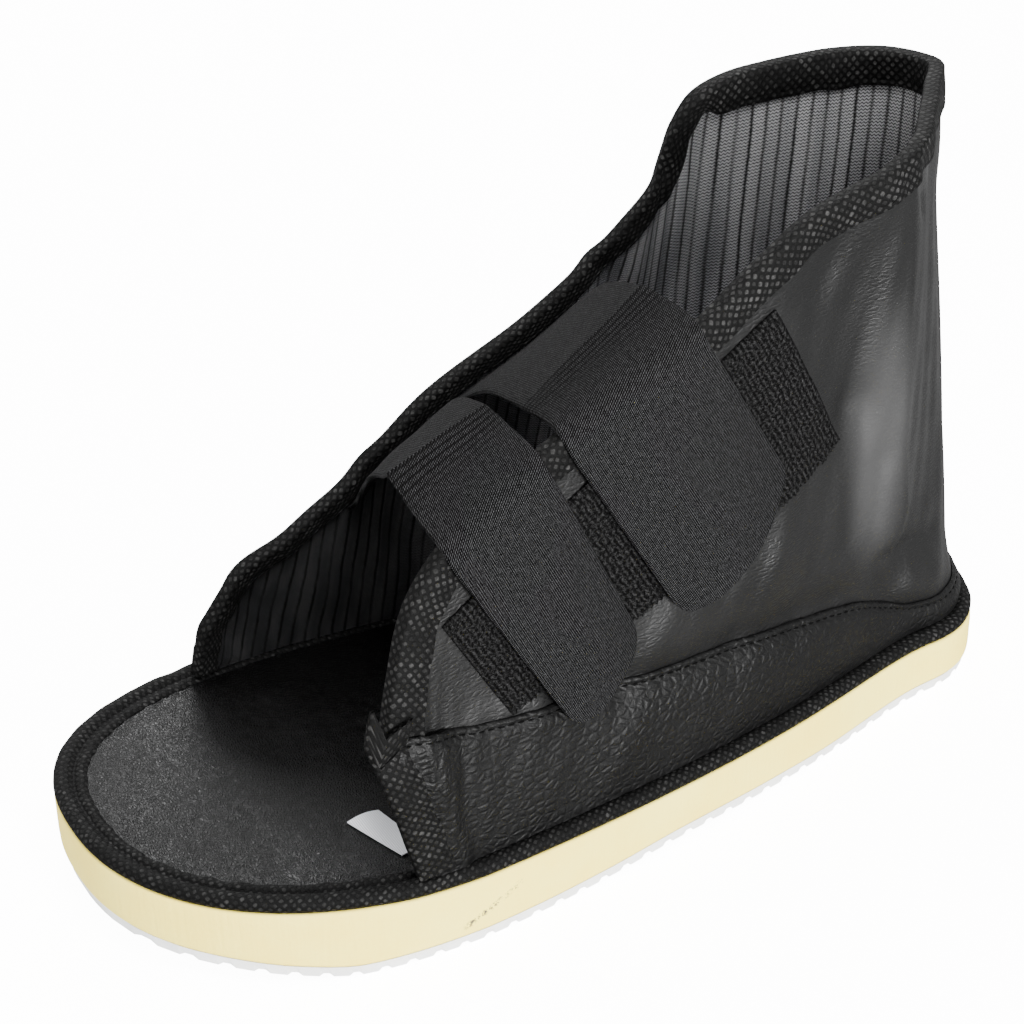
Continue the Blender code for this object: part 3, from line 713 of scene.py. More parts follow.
def leather(name, level, roughness, grain_size, depth, stretch, warp, shine, painted_highlight=None):
    """Black imitation leather with pebbled grain; an optional painted highlight pales it round a spot,
    where its grain is also smoother.
    """
    made, tree, shader = finish(name, roughness, shine)
    solid = solid_place(tree)
    grain = use_group(tree, GRAIN, solid, Grain_Size=grain_size, Stretch=stretch, Warp=warp)
    uneven = speckle(tree, solid, 0.030, 3.0, 0.5)
    tone = sums(tree, "ADD", sums(tree, "MULTIPLY", uneven, 0.35),
                sums(tree, "MULTIPLY", grain["Creases"], -0.45))
    colour = blend_colours(tree, spread(tree, tone, -0.3, 0.4), grey(level * 0.55),
                           grey(level * 1.35, (1.0, 0.99, 0.98)))
    height = grain["Height"]
    # Painted highlight: round the given spot the colour is lifted to a pale grey, standing in for light
    # on the heel quarter; the grain there is also made smoother.
    if painted_highlight:
        spot, size = painted_highlight
        off = node(tree, "ShaderNodeVectorMath", {0: solid, 1: spot}, operation="SUBTRACT")
        scaled = node(tree, "ShaderNodeVectorMath", {0: off.outputs[0], 1: size}, operation="DIVIDE")
        away = node(tree, "ShaderNodeVectorMath", {0: scaled.outputs[0]}, operation="LENGTH")
        highlight_mask = spread(tree, away.outputs["Value"], 0.35, 1.15, 1.0, 0.0)
        colour = blend_colours(tree, highlight_mask, colour, grey(PAINTED_HIGHLIGHT_LEVEL))
        height = sums(tree, "MULTIPLY", height, sums(tree, "SUBTRACT", 1.0, sums(
            tree, "MULTIPLY", highlight_mask, 0.75)))
    gloss = sums(tree, "ADD", spread(tree, uneven, 0.3, 0.7, roughness - 0.06, roughness + 0.08),
                 sums(tree, "MULTIPLY", grain["Creases"], 0.10))
    tree.links.new(gloss, shader.inputs["Roughness"])
    pores = sums(tree, "MULTIPLY", speckle(tree, solid, 0.0004, 2.0, 0.6), 0.25)
    paint(tree, shader, colour, sums(tree, "ADD", height, pores), depth)
    return made


CLOTH_DEPTH = 0.00035
ELASTIC_PITCH = 0.0020


def binding_tape(name, base, dot_level, pitch):
    """Black non-woven binding with embossed grey dots."""
    made, tree, shader = finish(name, 0.66, 0.09)
    cloth, solid = cloth_place(tree), solid_place(tree)
    dots = use_group(tree, DOTS, cloth, Pitch=pitch)
    fibre = speckle(tree, solid, 0.0009, 3.0, 0.7)
    ground = blend_colours(tree, fibre, grey(base * 0.3), grey(base * 1.8, (1.0, 0.99, 0.96)))
    colour = blend_colours(tree, dots["Dots"], ground, grey(dot_level, (1.0, 0.99, 0.97)))
    paint(tree, shader, colour, dots["Height"], CLOTH_DEPTH)
    return made


def knit_lining(name):
    """Grey knitted lining with dark rib lines, darkened to the front by painted shade and paled at the
    collar by painted light.
    """
    made, tree, shader = finish(name, 0.9, 0.06)
    cloth, solid = cloth_place(tree), solid_place(tree)
    knit = use_group(tree, KNIT, cloth)
    apart = node(tree, "ShaderNodeSeparateXYZ", {0: cloth})
    tall = node(tree, "ShaderNodeCombineXYZ", {0: apart.outputs[0], 1: sums(
        tree, "MULTIPLY", apart.outputs[1], 0.10), 2: 0.0})
    bands = speckle(tree, tall.outputs[0], 0.013, 2.0, 0.6)
    loops = blend_colours(tree, knit["Loops"], grey(0.010, (0.98, 0.99, 1.03)),
                          grey(0.210, (0.99, 0.99, 1.02)))
    shade = blend_colours(tree, knit["Loops"], grey(0.006, (0.96, 0.99, 1.06)),
                          grey(0.110, (0.96, 0.98, 1.05)))
    mixed = blend_colours(tree, spread(tree, bands, 0.40, 0.62), shade, loops)
    strong = spread(tree, speckle(tree, tall.outputs[0], 0.007, 2.0, 0.5), 0.35, 0.6, 0.45, 0.95)
    # Painted shade: the lining darkens towards the front, where the straps and near wall shade it.
    front = spread(tree, axis_of(tree, solid, 1), -0.03, 0.07, 0.72, 0.0)
    painted_light_and_shade = blend_colours(tree, front, mixed, grey(0.006))
    # Painted light: the loops turn pale high up at the collar, where light falls in.
    high = spread(tree, axis_of(tree, solid, 2), 0.125, 0.175, 0.0, 0.34)
    painted_light_and_shade = blend_colours(tree, sums(tree, "MULTIPLY", high, knit["Loops"]), painted_light_and_shade, grey(0.75))
    colour = blend_colours(tree, sums(tree, "MULTIPLY", knit["Line"], strong), painted_light_and_shade, grey(0.003))
    paint(tree, shader, colour, knit["Height"], CLOTH_DEPTH)
    return made


def loop_webbing(name):
    """Black loop strap: speckled weave, with elastic lines just past its crease whose grooves are
    darkened by painted shade.
    """
    made, tree, shader = finish(name, 0.88, 0.05)
    cloth = cloth_place(tree)
    weave = use_group(tree, WEAVE, cloth)
    run = axis_of(tree, cloth, 0)
    lines = sums(tree, "SINE", sums(tree, "MULTIPLY", run, 2 * math.pi / ELASTIC_PITCH))
    fades = spread(tree, run, 0.004, 0.017, 1.0, 0.0)
    strong = sums(tree, "MULTIPLY", spread(tree, run, -0.001, 0.001), fades)
    groove = sums(tree, "MULTIPLY", spread(tree, lines, 0.1, 1.0), strong)
    bright = blend_colours(tree, weave["Specks"], grey(0.0004), grey(0.044, (0.99, 0.99, 1.02)))
    # Painted shade: the ripples' grooves are darkened in colour as well as pressed in by the bump.
    colour = blend_colours(tree, sums(tree, "MULTIPLY", groove, 0.9), bright, grey(0.001))
    height = sums(tree, "SUBTRACT", weave["Height"], sums(tree, "MULTIPLY", groove, 0.45))
    paint(tree, shader, colour, height, CLOTH_DEPTH)
    return made


def hook_weave(name):
    """Black hook patch: narrow ribs down its length, broken by dense hooks."""
    made, tree, shader = finish(name, 0.75, 0.05)
    cloth = cloth_place(tree)
    rib = sums(tree, "SINE", sums(tree, "MULTIPLY", across(tree, cloth, 0.00165, 0), 2 * math.pi))
    hooks = speckle(tree, cloth, 0.00085, 3.0, 0.85)
    mixed = sums(tree, "ADD", sums(tree, "MULTIPLY", rib, 0.045), hooks)
    colour = blend_colours(tree, spread(tree, mixed, 0.42, 0.74), grey(0.0002), grey(0.026))
    paint(tree, shader, colour, mixed, 0.0008)
    return made


def foam(name):
    """Cream foam with faint cut lines, fine cells and a small scuff at the near front."""
    made, tree, shader = finish(name, 0.62, 0.3)
    solid = solid_place(tree)
    cells = speckle(tree, solid, 0.0011, 3.0, 0.6)
    blotch = speckle(tree, solid, 0.028, 3.0, 0.55)
    share = sums(tree, "ADD", sums(tree, "MULTIPLY", cells, 0.25), sums(tree, "MULTIPLY", blotch, 0.75))
    body = blend_colours(tree, spread(tree, share, 0.3, 0.7), (0.98, 0.77, 0.12, 1.0),
                         (1.0, 0.84, 0.18, 1.0))
    apart = node(tree, "ShaderNodeSeparateXYZ", {0: solid})
    slope = sums(tree, "ADD", apart.outputs[1], sums(tree, "MULTIPLY", apart.outputs[2], -2.2))
    along_scuff = sums(tree, "ABSOLUTE", sums(tree, "ADD", apart.outputs[1], 0.054))
    off_scuff = sums(tree, "ABSOLUTE", sums(tree, "ADD", slope, 0.0785))
    zone = sums(tree, "MULTIPLY", spread(tree, along_scuff, 0.007, 0.010, 1.0, 0.0),
                spread(tree, off_scuff, 0.0007, 0.0034, 1.0, 0.0))
    near = spread(tree, apart.outputs[0], 0.02, 0.04)
    bits = spread(tree, speckle(tree, solid, 0.0012, 4.0, 0.8), 0.50, 0.57)
    scuff = sums(tree, "MULTIPLY", sums(tree, "MULTIPLY", zone, near), bits)
    colour = blend_colours(tree, scuff, body, (0.07, 0.065, 0.05, 1.0))
    saw = node(tree, "ShaderNodeCombineXYZ", {0: apart.outputs[0], 1: apart.outputs[1],
                                              2: sums(tree, "MULTIPLY", apart.outputs[2], 0.06)})
    cuts = speckle(tree, saw.outputs[0], 0.0014, 2.0, 0.5)
    rough = sums(tree, "ADD", cuts, sums(tree, "MULTIPLY", cells, 0.6))
    paint(tree, shader, colour, rough, 0.00018)
    return made


def white_rubber(name):
    """White outsole rubber with a fine cloth-like texture."""
    made, tree, shader = finish(name, 0.55, 0.4)
    solid = solid_place(tree)
    dust = speckle(tree, solid, 0.012, 4.0, 0.6)
    colour = blend_colours(tree, spread(tree, dust, 0.35, 0.75), (0.88, 0.89, 0.90, 1.0),
                           (0.78, 0.79, 0.80, 1.0))
    paint(tree, shader, colour, speckle(tree, solid, 0.0008), 0.0001)
    return made


def plain_ribbon(name):
    """White woven ribbon."""
    made, tree, shader = finish(name, 0.5, 0.4)
    solid = solid_place(tree)
    threads = sums(tree, "SINE", sums(tree, "MULTIPLY", across(tree, solid, 0.0006, 1), 2 * math.pi))
    colour = blend_colours(tree, spread(tree, threads, -1.0, 1.0), (0.70, 0.71, 0.76, 1.0),
                           (0.84, 0.85, 0.88, 1.0))
    paint(tree, shader, colour, threads, 0.00005)
    return made


def sewing_thread(name, level):
    """Twisted sewing thread."""
    made, tree, shader = finish(name, 0.8, 0.05)
    solid = solid_place(tree)
    twist = speckle(tree, solid, 0.0004)
    paint(tree, shader, blend_colours(tree, twist, grey(level * 0.6), grey(level * 1.4)), twist, 0.0001)
    return made


FOAM = foam("cream foam")
RUBBER = white_rubber("white rubber")
BOARD_LEATHER = leather("footbed leather", 0.0014, 0.36, 0.0014, 0.00013, 0.5, 0.2, 0.22)
# The upper leather carries a painted highlight on the near side of the heel.
WALL_LEATHER = leather("upper leather", 0.0014, 0.46, 0.0012, 0.00006, 2.6, 0.2, 0.34,
                       ((0.043, 0.087, 0.100), (0.020, 0.014, 0.046)))
BAND_LEATHER = leather("band leather", 0.0012, 0.50, 0.0024, 0.00018, 1.3, 0.12, 0.20)
LINING = knit_lining("knit lining")
EDGE_TAPE = binding_tape("edge tape", 0.0016, 0.040, 0.0028)
SOLE_TAPE = binding_tape("footbed tape", 0.0012, 0.032, 0.0024)
WEBBING = loop_webbing("loop webbing")
HOOK = hook_weave("hook weave")
RIBBON_CLOTH = plain_ribbon("white ribbon")
BLACK_THREAD = sewing_thread("black thread", 0.0016)


# Shapes of the sole and the footbed


def turns(step):
    """Sides and shares of stations round the outline, evenly spaced: toe, left, heel, right."""
    angle = np.radians(np.linspace(-90.0, 270.0, 6001))
    side = np.where(angle < math.pi / 2, -1.0, 1.0)
    x, y = outline(side, np.sin(angle), 0.0)
    run = lengths(np.stack([x, y], -1))
    count = int(run[-1] / step)
    even = np.interp(np.linspace(0.0, run[-1], count, endpoint=False), run, angle)
    return np.where(even < math.pi / 2, -1.0, 1.0), np.sin(even)


def make_foam():
    """Foam midsole with softened edges and a hand-cut, slightly uneven side."""
    shares = np.sin(np.radians(np.arange(-89.5, 89.6, 1.0)))
    low = [(0.5, 0.0), (-0.15, 0.12), (-0.5, 0.5), (-0.65, 1.2)]
    loop = []
    for side in (-1.0, 1.0):
        points = []
        for inset, lift in low:
            x, y = outline(side, shares, inset * MM)
            points.append((x, y, underside(y) + OUTSOLE_THICK + GAP + lift * MM))
        for part in (0.25, 0.5, 0.75):
            x, y = outline(side, shares, (0.12 * waves(shares * 5 + part, 31, 1.3) - 0.7) * MM)
            base = underside(y) + OUTSOLE_THICK + GAP
            points.append((x, y, base + (sole_top(y) - base) * part))
        for inset, lift in low[::-1]:
            x, y = outline(side, shares, inset * MM)
            points.append((x, y, sole_top(y) - lift * MM))
        loop += points if side < 0 else points[::-1]
    grid = np.array([np.stack(point, -1) for point in loop]).transpose(1, 0, 2)
    return lay_mesh("foam_midsole", grid, FOAM, grid_marks(grid), ["midsole"], caps=True)


def make_board():
    """Leather-covered board of the footbed, a little wavy."""
    shares = np.sin(np.radians(np.arange(-89.0, 89.1, 1.0)))
    left_x, y = outline(-1.0, shares, 5.2 * MM)
    right_x, _ = outline(1.0, shares, 5.2 * MM)
    columns = []
    for part in np.concatenate([[0.0], np.linspace(0.0, 1.0, 41), [1.0]]):
        x = left_x + (right_x - left_x) * part
        columns.append(np.stack([x, y, sole_top(y) + GAP + 0 * x], -1))
    for part, column in zip(np.linspace(0.0, 1.0, 41), columns[1:-1]):
        edge = min(part, 1 - part)
        wave = 0.16 * MM * waves(y * 1000 + 9 * part, 41, 26.0) * ease(edge, 0.0, 0.2)
        column[:, 2] += FOOTBED_THICK + wave
    grid = np.array(columns).transpose(1, 0, 2)
    lay_mesh("footbed_board", grid, BOARD_LEATHER, grid_marks(grid), ["footbed"])


SOLE_TAPE_SECTION = [
    # inset and height above the midsole's top, in mm
    (4.8, 0.30), (0.8, 0.25), (0.1, 0.30), (-0.35, 0.8), (-0.6, 1.6), (-0.6, 2.5), (-0.3, 3.3),
    (0.3, 3.95), (1.1, 4.35), (2.0, 4.5), (2.9, 4.35), (3.7, 3.85), (4.35, 3.25), (4.8, 3.05),
    (5.2, 3.2), (5.6, 3.7), (6.2, 3.95), (6.9, 3.95), (7.5, 3.75), (8.0, 3.45), (8.3, 3.15),
    (8.3, 2.95), (5.1, 2.95), (4.9, 2.0),
]


def make_sole_tape():
    """Tape rolled round the footbed's edge: an outer bead, a sewn groove and a flat inner row."""
    side, share = turns(0.9 * MM)
    run = lengths(np.stack(outline(side, share, 0.0), -1)) / MM
    heel = ease(share, 0.72, 0.9)
    toe = ease(-share, 0.55, 0.8)
    pleats = waves(run, 51, 7.5, 6) * (0.28 + 0.5 * heel + 0.12 * toe)
    bumps = waves(run, 52, 13.0, 6) * 0.22
    points = []
    for inset, lift in SOLE_TAPE_SECTION:
        inner = ease(inset, 5.0, 7.5) * (1 if lift > 3.0 else 0)
        bead = ease(lift, 0.5, 2.5) * ease(-inset, -4.2, -1.0)
        x, y = outline(side, share, (inset - bead * 0.3 * bumps + inner * 0.35 * waves(
            run, 53, 9.0)) * MM)
        rise = lift + bead * bumps * 0.7 + inner * np.maximum(pleats, -0.55) * 0.75
        points.append(np.stack([x, y, sole_top(y) + rise * MM], -1))
    grid = np.array(points).transpose(1, 0, 2)
    lay_mesh("footbed_tape", grid, SOLE_TAPE, grid_marks(grid), ["footbed_binding"], ring=True)


# Shapes of the wall


def fine_ribs(step, first=0.0):
    """Rib counts a step apart, judged high on the wall."""
    dense = np.linspace(first, LAST_RIB, 3001)
    run = lengths(wall(dense, np.full(dense.shape, 0.7)))
    return np.interp(np.linspace(0, run[-1], int(run[-1] / step) + 1), run, dense)


def wall_tube(us, outer_s, outer_out, inner_s, inner_out):
    """Closed skin between two distances from the wall's face."""
    u1, s1 = np.meshgrid(us, outer_s, indexing="ij")
    u2, s2 = np.meshgrid(us, inner_s, indexing="ij")
    outer = skin(u1, s1, outer_out)
    inner = skin(u2, s2, inner_out)
    return np.concatenate([outer, inner[:, ::-1]], 1)


def make_wall():
    """Leather skin and knit lining of the upper."""
    us = fine_ribs(GRID_STEP)
    fine, plain = np.linspace(0.0, 1.0, 96), np.linspace(0.0, 1.0, 25)
    leather_grid = wall_tube(us, fine, 0.0, plain, -LEATHER_THICK)
    lay_mesh("upper_leather_skin", leather_grid, WALL_LEATHER, grid_marks(leather_grid),
             ["upper"], caps=True)
    u, s = np.meshgrid(us, fine, indexing="ij")
    folds = 0.5 * MM * waves(u * 1.0 + 0.4 * s, 61, 1.1, 6) * np.sin(np.pi * s) ** 0.5
    inner = skin(u, s, -WALL_THICK - np.maximum(folds, -0.6 * MM))
    u, s = np.meshgrid(us, plain, indexing="ij")
    grid = np.concatenate([inner, skin(u, s, -LEATHER_THICK - 0.1 * MM)[:, ::-1]], 1)
    middle = lengths(wall(us, np.full(us.shape, 0.8)))
    up = lengths(grid[len(us) // 2])
    lay_mesh("knit_lining", grid, LINING, grid_marks(grid, middle, up), ["upper"],
             caps=True)


def tape_path(step, corners):
    """Evenly spaced wall coordinates along straight stretches between corners, and the run there."""
    u, s = np.concatenate([np.linspace(a, b, 800) for a, b in zip(corners, corners[1:])]).T
    run = lengths(wall(u, s))
    even = np.linspace(0, run[-1], int(run[-1] / step) + 1)
    return np.interp(even, run, u), np.interp(even, run, s), even


def inner_width(u):
    """Width of the edge tape inside the wall: narrow on the far slope, full round the collar."""
    return TAPE_WIDTH * (0.52 + 0.60 * ease(u, 8.5, 9.6))


TAPE_SECTION = [
    # share of the width from the edge, thickness as a share of the tape's
    (1.0, 0.12), (0.985, 0.62), (0.95, 0.92), (0.86, 1.0), (0.80, 0.80), (0.74, 1.0), (0.60, 1.10),
    (0.45, 1.15), (0.30, 1.12), (0.15, 1.05), (0.0, 1.0),
]
TAPE_FOLD = [
    # reach past the edge, thickness, and the side: 1 outer face, -1 inner face, or a share between
    (-0.55, 0.85, 1), (-0.9, 0.45, 1), (-1.05, 0.0, 1), (-1.0, 0.0, 0.5), (-1.05, 0.0, 0),
    (-0.9, 0.45, -1), (-0.55, 0.85, -1),
]


def tape_grid(u, s, run, outside, inside, reach, seed, flange=True):
    """Grid of a tape folded over an edge: thin, softly uneven, pressed down along its stitches.

    reach is the count of points over which its way is judged; without a flange it ends at the edge.
    """
    spots = wall(u, s)
    count = len(u)
    ahead = np.minimum(np.arange(count) + reach, count - 1)
    behind = np.maximum(np.arange(count) - reach, 0)
    way = unit(spots[ahead] - spots[behind])
    along, up = wall_slopes(u, s)
    inward = unit(np.cross(unit(np.cross(up, along)), way))
    puff = waves(run / MM, seed, 11.0, 6) * 0.20 * MM
    wide = TAPE_WIDTH + waves(run / MM, seed + 1, 16.0) * 0.30 * MM
    wide_in = inner_width(u) + waves(run / MM, seed + 2, 16.0) * 0.30 * MM

    def place(part, out, amount):
        """Points of the tape at a share of its width from the edge."""
        return skin(*march(u, s, inward, amount[..., None] * part), out)

    points = [place(part, outside + TAPE_THICK * height + puff * (height > 0.9), wide)
              for part, height in TAPE_SECTION]
    for deep, high, kind in TAPE_FOLD:
        if kind == 1:
            out = outside + TAPE_THICK * high
        elif kind == -1:
            out = inside - TAPE_THICK * high * (1.0 if flange else 0.0)
        else:
            out = inside + (outside - inside) * kind
        points.append(skin(u, s, out) + inward * deep * (TAPE_GAP + TAPE_THICK))
    if flange:
        for part, height in TAPE_SECTION[::-1]:
            points.append(place(part, inside - TAPE_THICK * height - puff * (height > 0.9), wide_in))
        points += [place(part, inside, wide_in) for part in (1.0, 0.5, 0.0)]
    points.append(skin(u, s, inside) - inward * TAPE_GAP)
    points.append(skin(u, s, outside) - inward * TAPE_GAP)
    points += [place(part, outside, wide) for part in (0.0, 0.5, 1.0)]
    return np.array(points).transpose(1, 0, 2)


def make_edge_tape():
    """Tape round the whole free edge of the wall."""
    u, s, run = tape_path(GRID_STEP, [(0.0, 0.04), (0.0, 1.0), (LAST_RIB, 1.0), (LAST_RIB, 0.04)])
    grid = tape_grid(u, s, run, TAPE_GAP, -WALL_THICK - TAPE_GAP, 4, 71)
    lay_mesh("edge_tape", grid, EDGE_TAPE, grid_marks(grid, run), ["upper_binding"])


def band_share(u):
    """How far up its rib the side band reaches."""
    height = SHAFT_HEIGHT * follow(BAND_RIB, BAND_HEIGHT, u)
    return height / (wall(u, 1.0 + 0 * u)[..., 2] - wall(u, 0 * u)[..., 2])


def band_lift(u):
    """Distance of the side band's inner face from the wall, larger over the front edge tape."""
    over = ease(u, BAND_OVER_TAPE - 0.5, BAND_OVER_TAPE + 0.1)
    return GAP + (TAPE_GAP + TAPE_THICK + 0.3 * MM) * over


def past_front(u, rise):
    """How far the band's front end is drawn past the wall's front edge, more at its top."""
    u, rise = np.broadcast_arrays(np.asarray(u, float), np.asarray(rise, float))
    way = unit(wall(LAST_RIB, 0.12) - wall(LAST_RIB - 0.4, 0.12))
    return way * (BAND_PAST * ease(u, LAST_RIB - 1.3, LAST_RIB) * (0.3 + 0.7 * rise))[..., None]


def make_band():
    """Leather band round the lower side, its top edge turned and sewn."""
    us = fine_ribs(GRID_STEP, BAND_RIB[0])
    top = band_share(us)
    tall = np.linalg.norm(wall(us, top) - wall(us, 0 * us), axis=-1)
    r = np.concatenate([np.linspace(0.0, 0.86, 30), np.linspace(0.875, 1.0, 14)])
    u, part = np.meshgrid(us, r, indexing="ij")
    down = (1 - part) * tall[:, None] / MM
    low = np.minimum(1.0, tall / (18 * MM))[:, None]
    thick = 0.9 * MM + (BAND_THICK - 0.9 * MM) * ease(down, 1.0, 5.0)
    thick = thick + BAND_BULGE * 1.2 * np.sin(np.pi * part) * low
    thick = thick - 0.30 * MM * np.exp(-((down - 1.9) / 0.6) ** 2)
    thick = thick + 0.22 * MM * waves(u * 1.0 + 0.5 * part, 81, 1.2, 6) * np.sin(np.pi * part)
    thick = thick * (1 - 0.6 * ease(u, LAST_RIB - 0.7, LAST_RIB - 0.2))
    thick = np.where(down < 0.5, thick * np.sqrt(np.clip(down / 0.5, 0.05, 1.0)), thick)
    outer = skin(u, part * top[:, None], band_lift(us)[:, None] + thick) + past_front(u, part)
    u2, part2 = np.meshgrid(us, np.linspace(0.0, 1.0, 12), indexing="ij")
    inner = skin(u2, part2 * top[:, None], band_lift(us)[:, None] + 0 * u2) + past_front(u2, part2)
    grid = np.concatenate([outer, inner[:, ::-1]], 1)
    lay_mesh("band_leather", grid, BAND_LEATHER, grid_marks(grid), ["side_band"],
             caps=True)
    seam = skin(us, top * (1 - 1.9 * MM / tall), band_lift(us) + 0.85 * MM) + past_front(us, 1.0)
    return seam, outward(us, top)


def stitches(name, line, faces, pitch, size, material, share=0.68):
    """A row of short stitches along a line, each a small rounded bead of thread."""
    run = lengths(line)
    count = int(run[-1] / pitch)
    rings, around = 5, 6
    points, faces_list = [], []
    for k in range(count):
        at = [np.array([np.interp(k * pitch + pitch * share * t, run, column) for column in line.T])
              for t in (0.0, 1.0)]
        up = unit(np.array([np.interp((k + 0.5) * pitch, run, column) for column in faces.T]))
        way = unit(at[1] - at[0])
        side = unit(np.cross(up, way))
        start = len(points)
        for ring in range(rings):
            t = ring / (rings - 1)
            wide = size * (0.35 + 0.65 * math.sin(math.pi * (0.08 + 0.84 * t)))
            middle = at[0] + (at[1] - at[0]) * t + up * size * 0.5 * math.sin(math.pi * t)
            for corner in range(around):
                a = 2 * math.pi * corner / around
                points.append(middle + (side * math.cos(a) + up * math.sin(a)) * wide / 2)
        for ring in range(rings - 1):
            for corner in range(around):
                a, b = start + ring * around, start + (ring + 1) * around
                near = (corner + 1) % around
                faces_list.append((a + corner, a + near, b + near, b + corner))
        faces_list.append(tuple(start + c for c in range(around))[::-1])
        faces_list.append(tuple(start + (rings - 1) * around + c for c in range(around)))
    mesh = bpy.data.meshes.new(name)
    points = np.array(points)
    points[:, 0] -= CENTRE_SHIFT
    mesh.from_pydata(points.tolist(), [], faces_list)
    mesh.materials.append(material)
    mesh.shade_smooth()
    dress(bpy.data.objects.new(name, mesh), [])


def make_band_tape():
    """Tape folded over the front end of the band, turned a little way along its top."""
    top, lift = float(band_share(LAST_RIB)), float(band_lift(LAST_RIB))
    u, s, run = tape_path(MM, [(LAST_RIB - 0.45, 1.03 * top), (LAST_RIB, 1.03 * top),
                               (LAST_RIB, 0.04 * top)])
    thin_top, full = 0.6 * MM, BAND_THICK + 0.7 * BAND_BULGE
    outer = lift + thin_top + (full - thin_top) * ease(-s / top, -1.0, -0.7)
    grid = tape_grid(u, s, run, outer, lift, 3, 91, flange=False)
    grid = grid + past_front(u, s / top)[:, None]
    lay_mesh("band_end_tape", grid, EDGE_TAPE, grid_marks(grid, run), ["band_binding"])


# Shapes of the patches and straps


def edge_rib(along, first, last):
    """Rib count at which the free edge has this share of the length, between two ribs."""
    dense = np.linspace(first, last, 2001)
    y = wall(dense, np.ones(dense.shape))[:, 1] / SOLE_LENGTH + 0.5
    order = np.argsort(y)
    return np.interp(along, y[order], dense[order])


def two_faced(places):
    """Texture places with one more row and column, as a tube needs them."""
    places = np.concatenate([places, places[-1:]])
    return np.concatenate([places, places[:, :1]], 1)


def mixed(pair, share):
    """Points at shares of the way from the first of a pair to the second."""
    first, second = np.asarray(pair[0], float), np.asarray(pair[1], float)
    share = np.asarray(share, float)
    return first + (second - first) * (share[..., None] if first.ndim else share)


def make_patch(name, sizes, seed):
    """Hook patch on the near side, its surface lumpy and its lower end frayed."""
    along, up, length, wide, longer = sizes
    n = PATCH_CELLS
    start = np.array([SOLE_LENGTH * (along - 0.5), 0.0])
    start[1] = sole_top(start[0]) + SHAFT_HEIGHT * up
    down = np.array(PATCH_DOWN)
    over = np.array([-down[1], down[0]])
    a = np.linspace(0, 1, n)
    first, second = np.meshgrid(a, a, indexing="ij")
    fray = 0.4 * MM * waves(a * 50, seed, 5.0) + 0.8 * MM * (np.arange(n) % 2)
    reach = length * (1 + longer * a) + fray
    spots = start + over * (wide * first)[..., None] + down * (reach[:, None] * second)[..., None]
    edge = np.minimum(np.minimum(first, 1 - first) * wide,
                      np.minimum(second, 1 - second) * length) / MM
    lift = GAP + PATCH_THICK * (0.35 + 0.65 * ease(edge, 0.0, 1.1)) + 0.12 * MM * waves(
        first * 50 + 17 * second, seed + 1, 6.0)
    outer = side_points(spots[..., 0], spots[..., 1], lift)
    inner = side_points(spots[..., 0], spots[..., 1], GAP + 0 * lift)
    grid = np.concatenate([outer, inner[:, ::-1]], 1)
    places = np.stack([first * wide, second * length], -1)
    marks = two_faced(np.concatenate([places, places[:, ::-1]], 1))
    lay_mesh(name + "_weave", grid, HOOK, marks, [name], caps=True)


def strap_rows(strap, share):
    """Middle layer of a strap, row by row along its length, and the row of its crease."""
    half = STRAP_THICK / 2
    lie = GAP + PATCH_THICK + 2 * GAP + half
    over_band = GAP + BAND_THICK + BAND_BULGE + 2 * GAP + half
    hold = -(WALL_THICK + GAP + half)
    clear = -(WALL_THICK + TAPE_GAP + TAPE_THICK + 2 * GAP + half)
    along, across_at, up = mixed(strap["crease"], share).T
    y = SOLE_LENGTH * (along - 0.5)
    crease = np.stack([HALF_BALL * across_at, y, sole_top(y) + SHAFT_HEIGHT * up], -1)
    far = edge_rib(mixed(strap["far"], share), 0.0, 9.0)
    tall = wall(far, 1.0 + 0 * far)[:, 2] - wall(far, 0 * far)[:, 2]
    seat = [skin(far, 1.0 - (inner_width(far) * STEEP_TAPE + below * MM) / tall, out + 0 * far)
            for below, out in
            ((3.0, hold + 1.2 * half), (1.6, hold), (-0.4, clear))]
    over = 0.5 * (seat[-1] + crease) + np.array([0.0, 0.0, STRAP_ARCH])
    starts = [wall(edge_rib(near, 18.0, LAST_RIB - 1.0), 1.0)[1:] for near in strap["near"]]
    near_rib = edge_rib(mixed(strap["near"], share), 18.0, LAST_RIB - 1.0)
    one = np.ones(near_rib.shape)
    start = wall(near_rib, one)[:, 1:]
    ridge = [skin(near_rib, one, out * one) + np.array([0.0, 0.0, lift]) for out, lift in
             ((clear, 1.35 * RIDGE_LIFT), (0.6 * lie, RIDGE_LIFT), (lie + GAP, -0.32 * RIDGE_LIFT))]
    down = np.array(PATCH_DOWN)
    before = seat[:-1] + list(glide([seat[-1], over, crease], 4))
    after = [crease, 0.5 * (crease + ridge[0])] + ridge
    spot = start + down * STRAP_TOUCH
    after.append(side_points(spot[:, 0], spot[:, 1], lie))
    middle = sum(starts) / 2
    flat = mixed(starts, share)
    longest = mixed(strap["down"], share) + strap["bulge"] * (1 - (2 * share - 1) ** 2)
    for part in np.concatenate([np.linspace(0.12, 0.8, 10), np.linspace(0.82, 1.0, 14)]):
        reach = (STRAP_TOUCH + (longest - STRAP_TOUCH) * part)[:, None]
        late = max(0.0, (part - END_ROUND) / (1 - END_ROUND))
        spot = flat + (start - flat) * (1.0 - part) + down * reach
        spot = spot + (middle - flat) * END_NARROW * late ** 2.6
        spot = spot + (starts[0] - flat) * strap["taper"] * part
        out = lie + (over_band - lie) * min(1.0, 2 * part ** 2)
        after.append(side_points(spot[:, 0], spot[:, 1], out))
    return np.array(before), np.array(after)


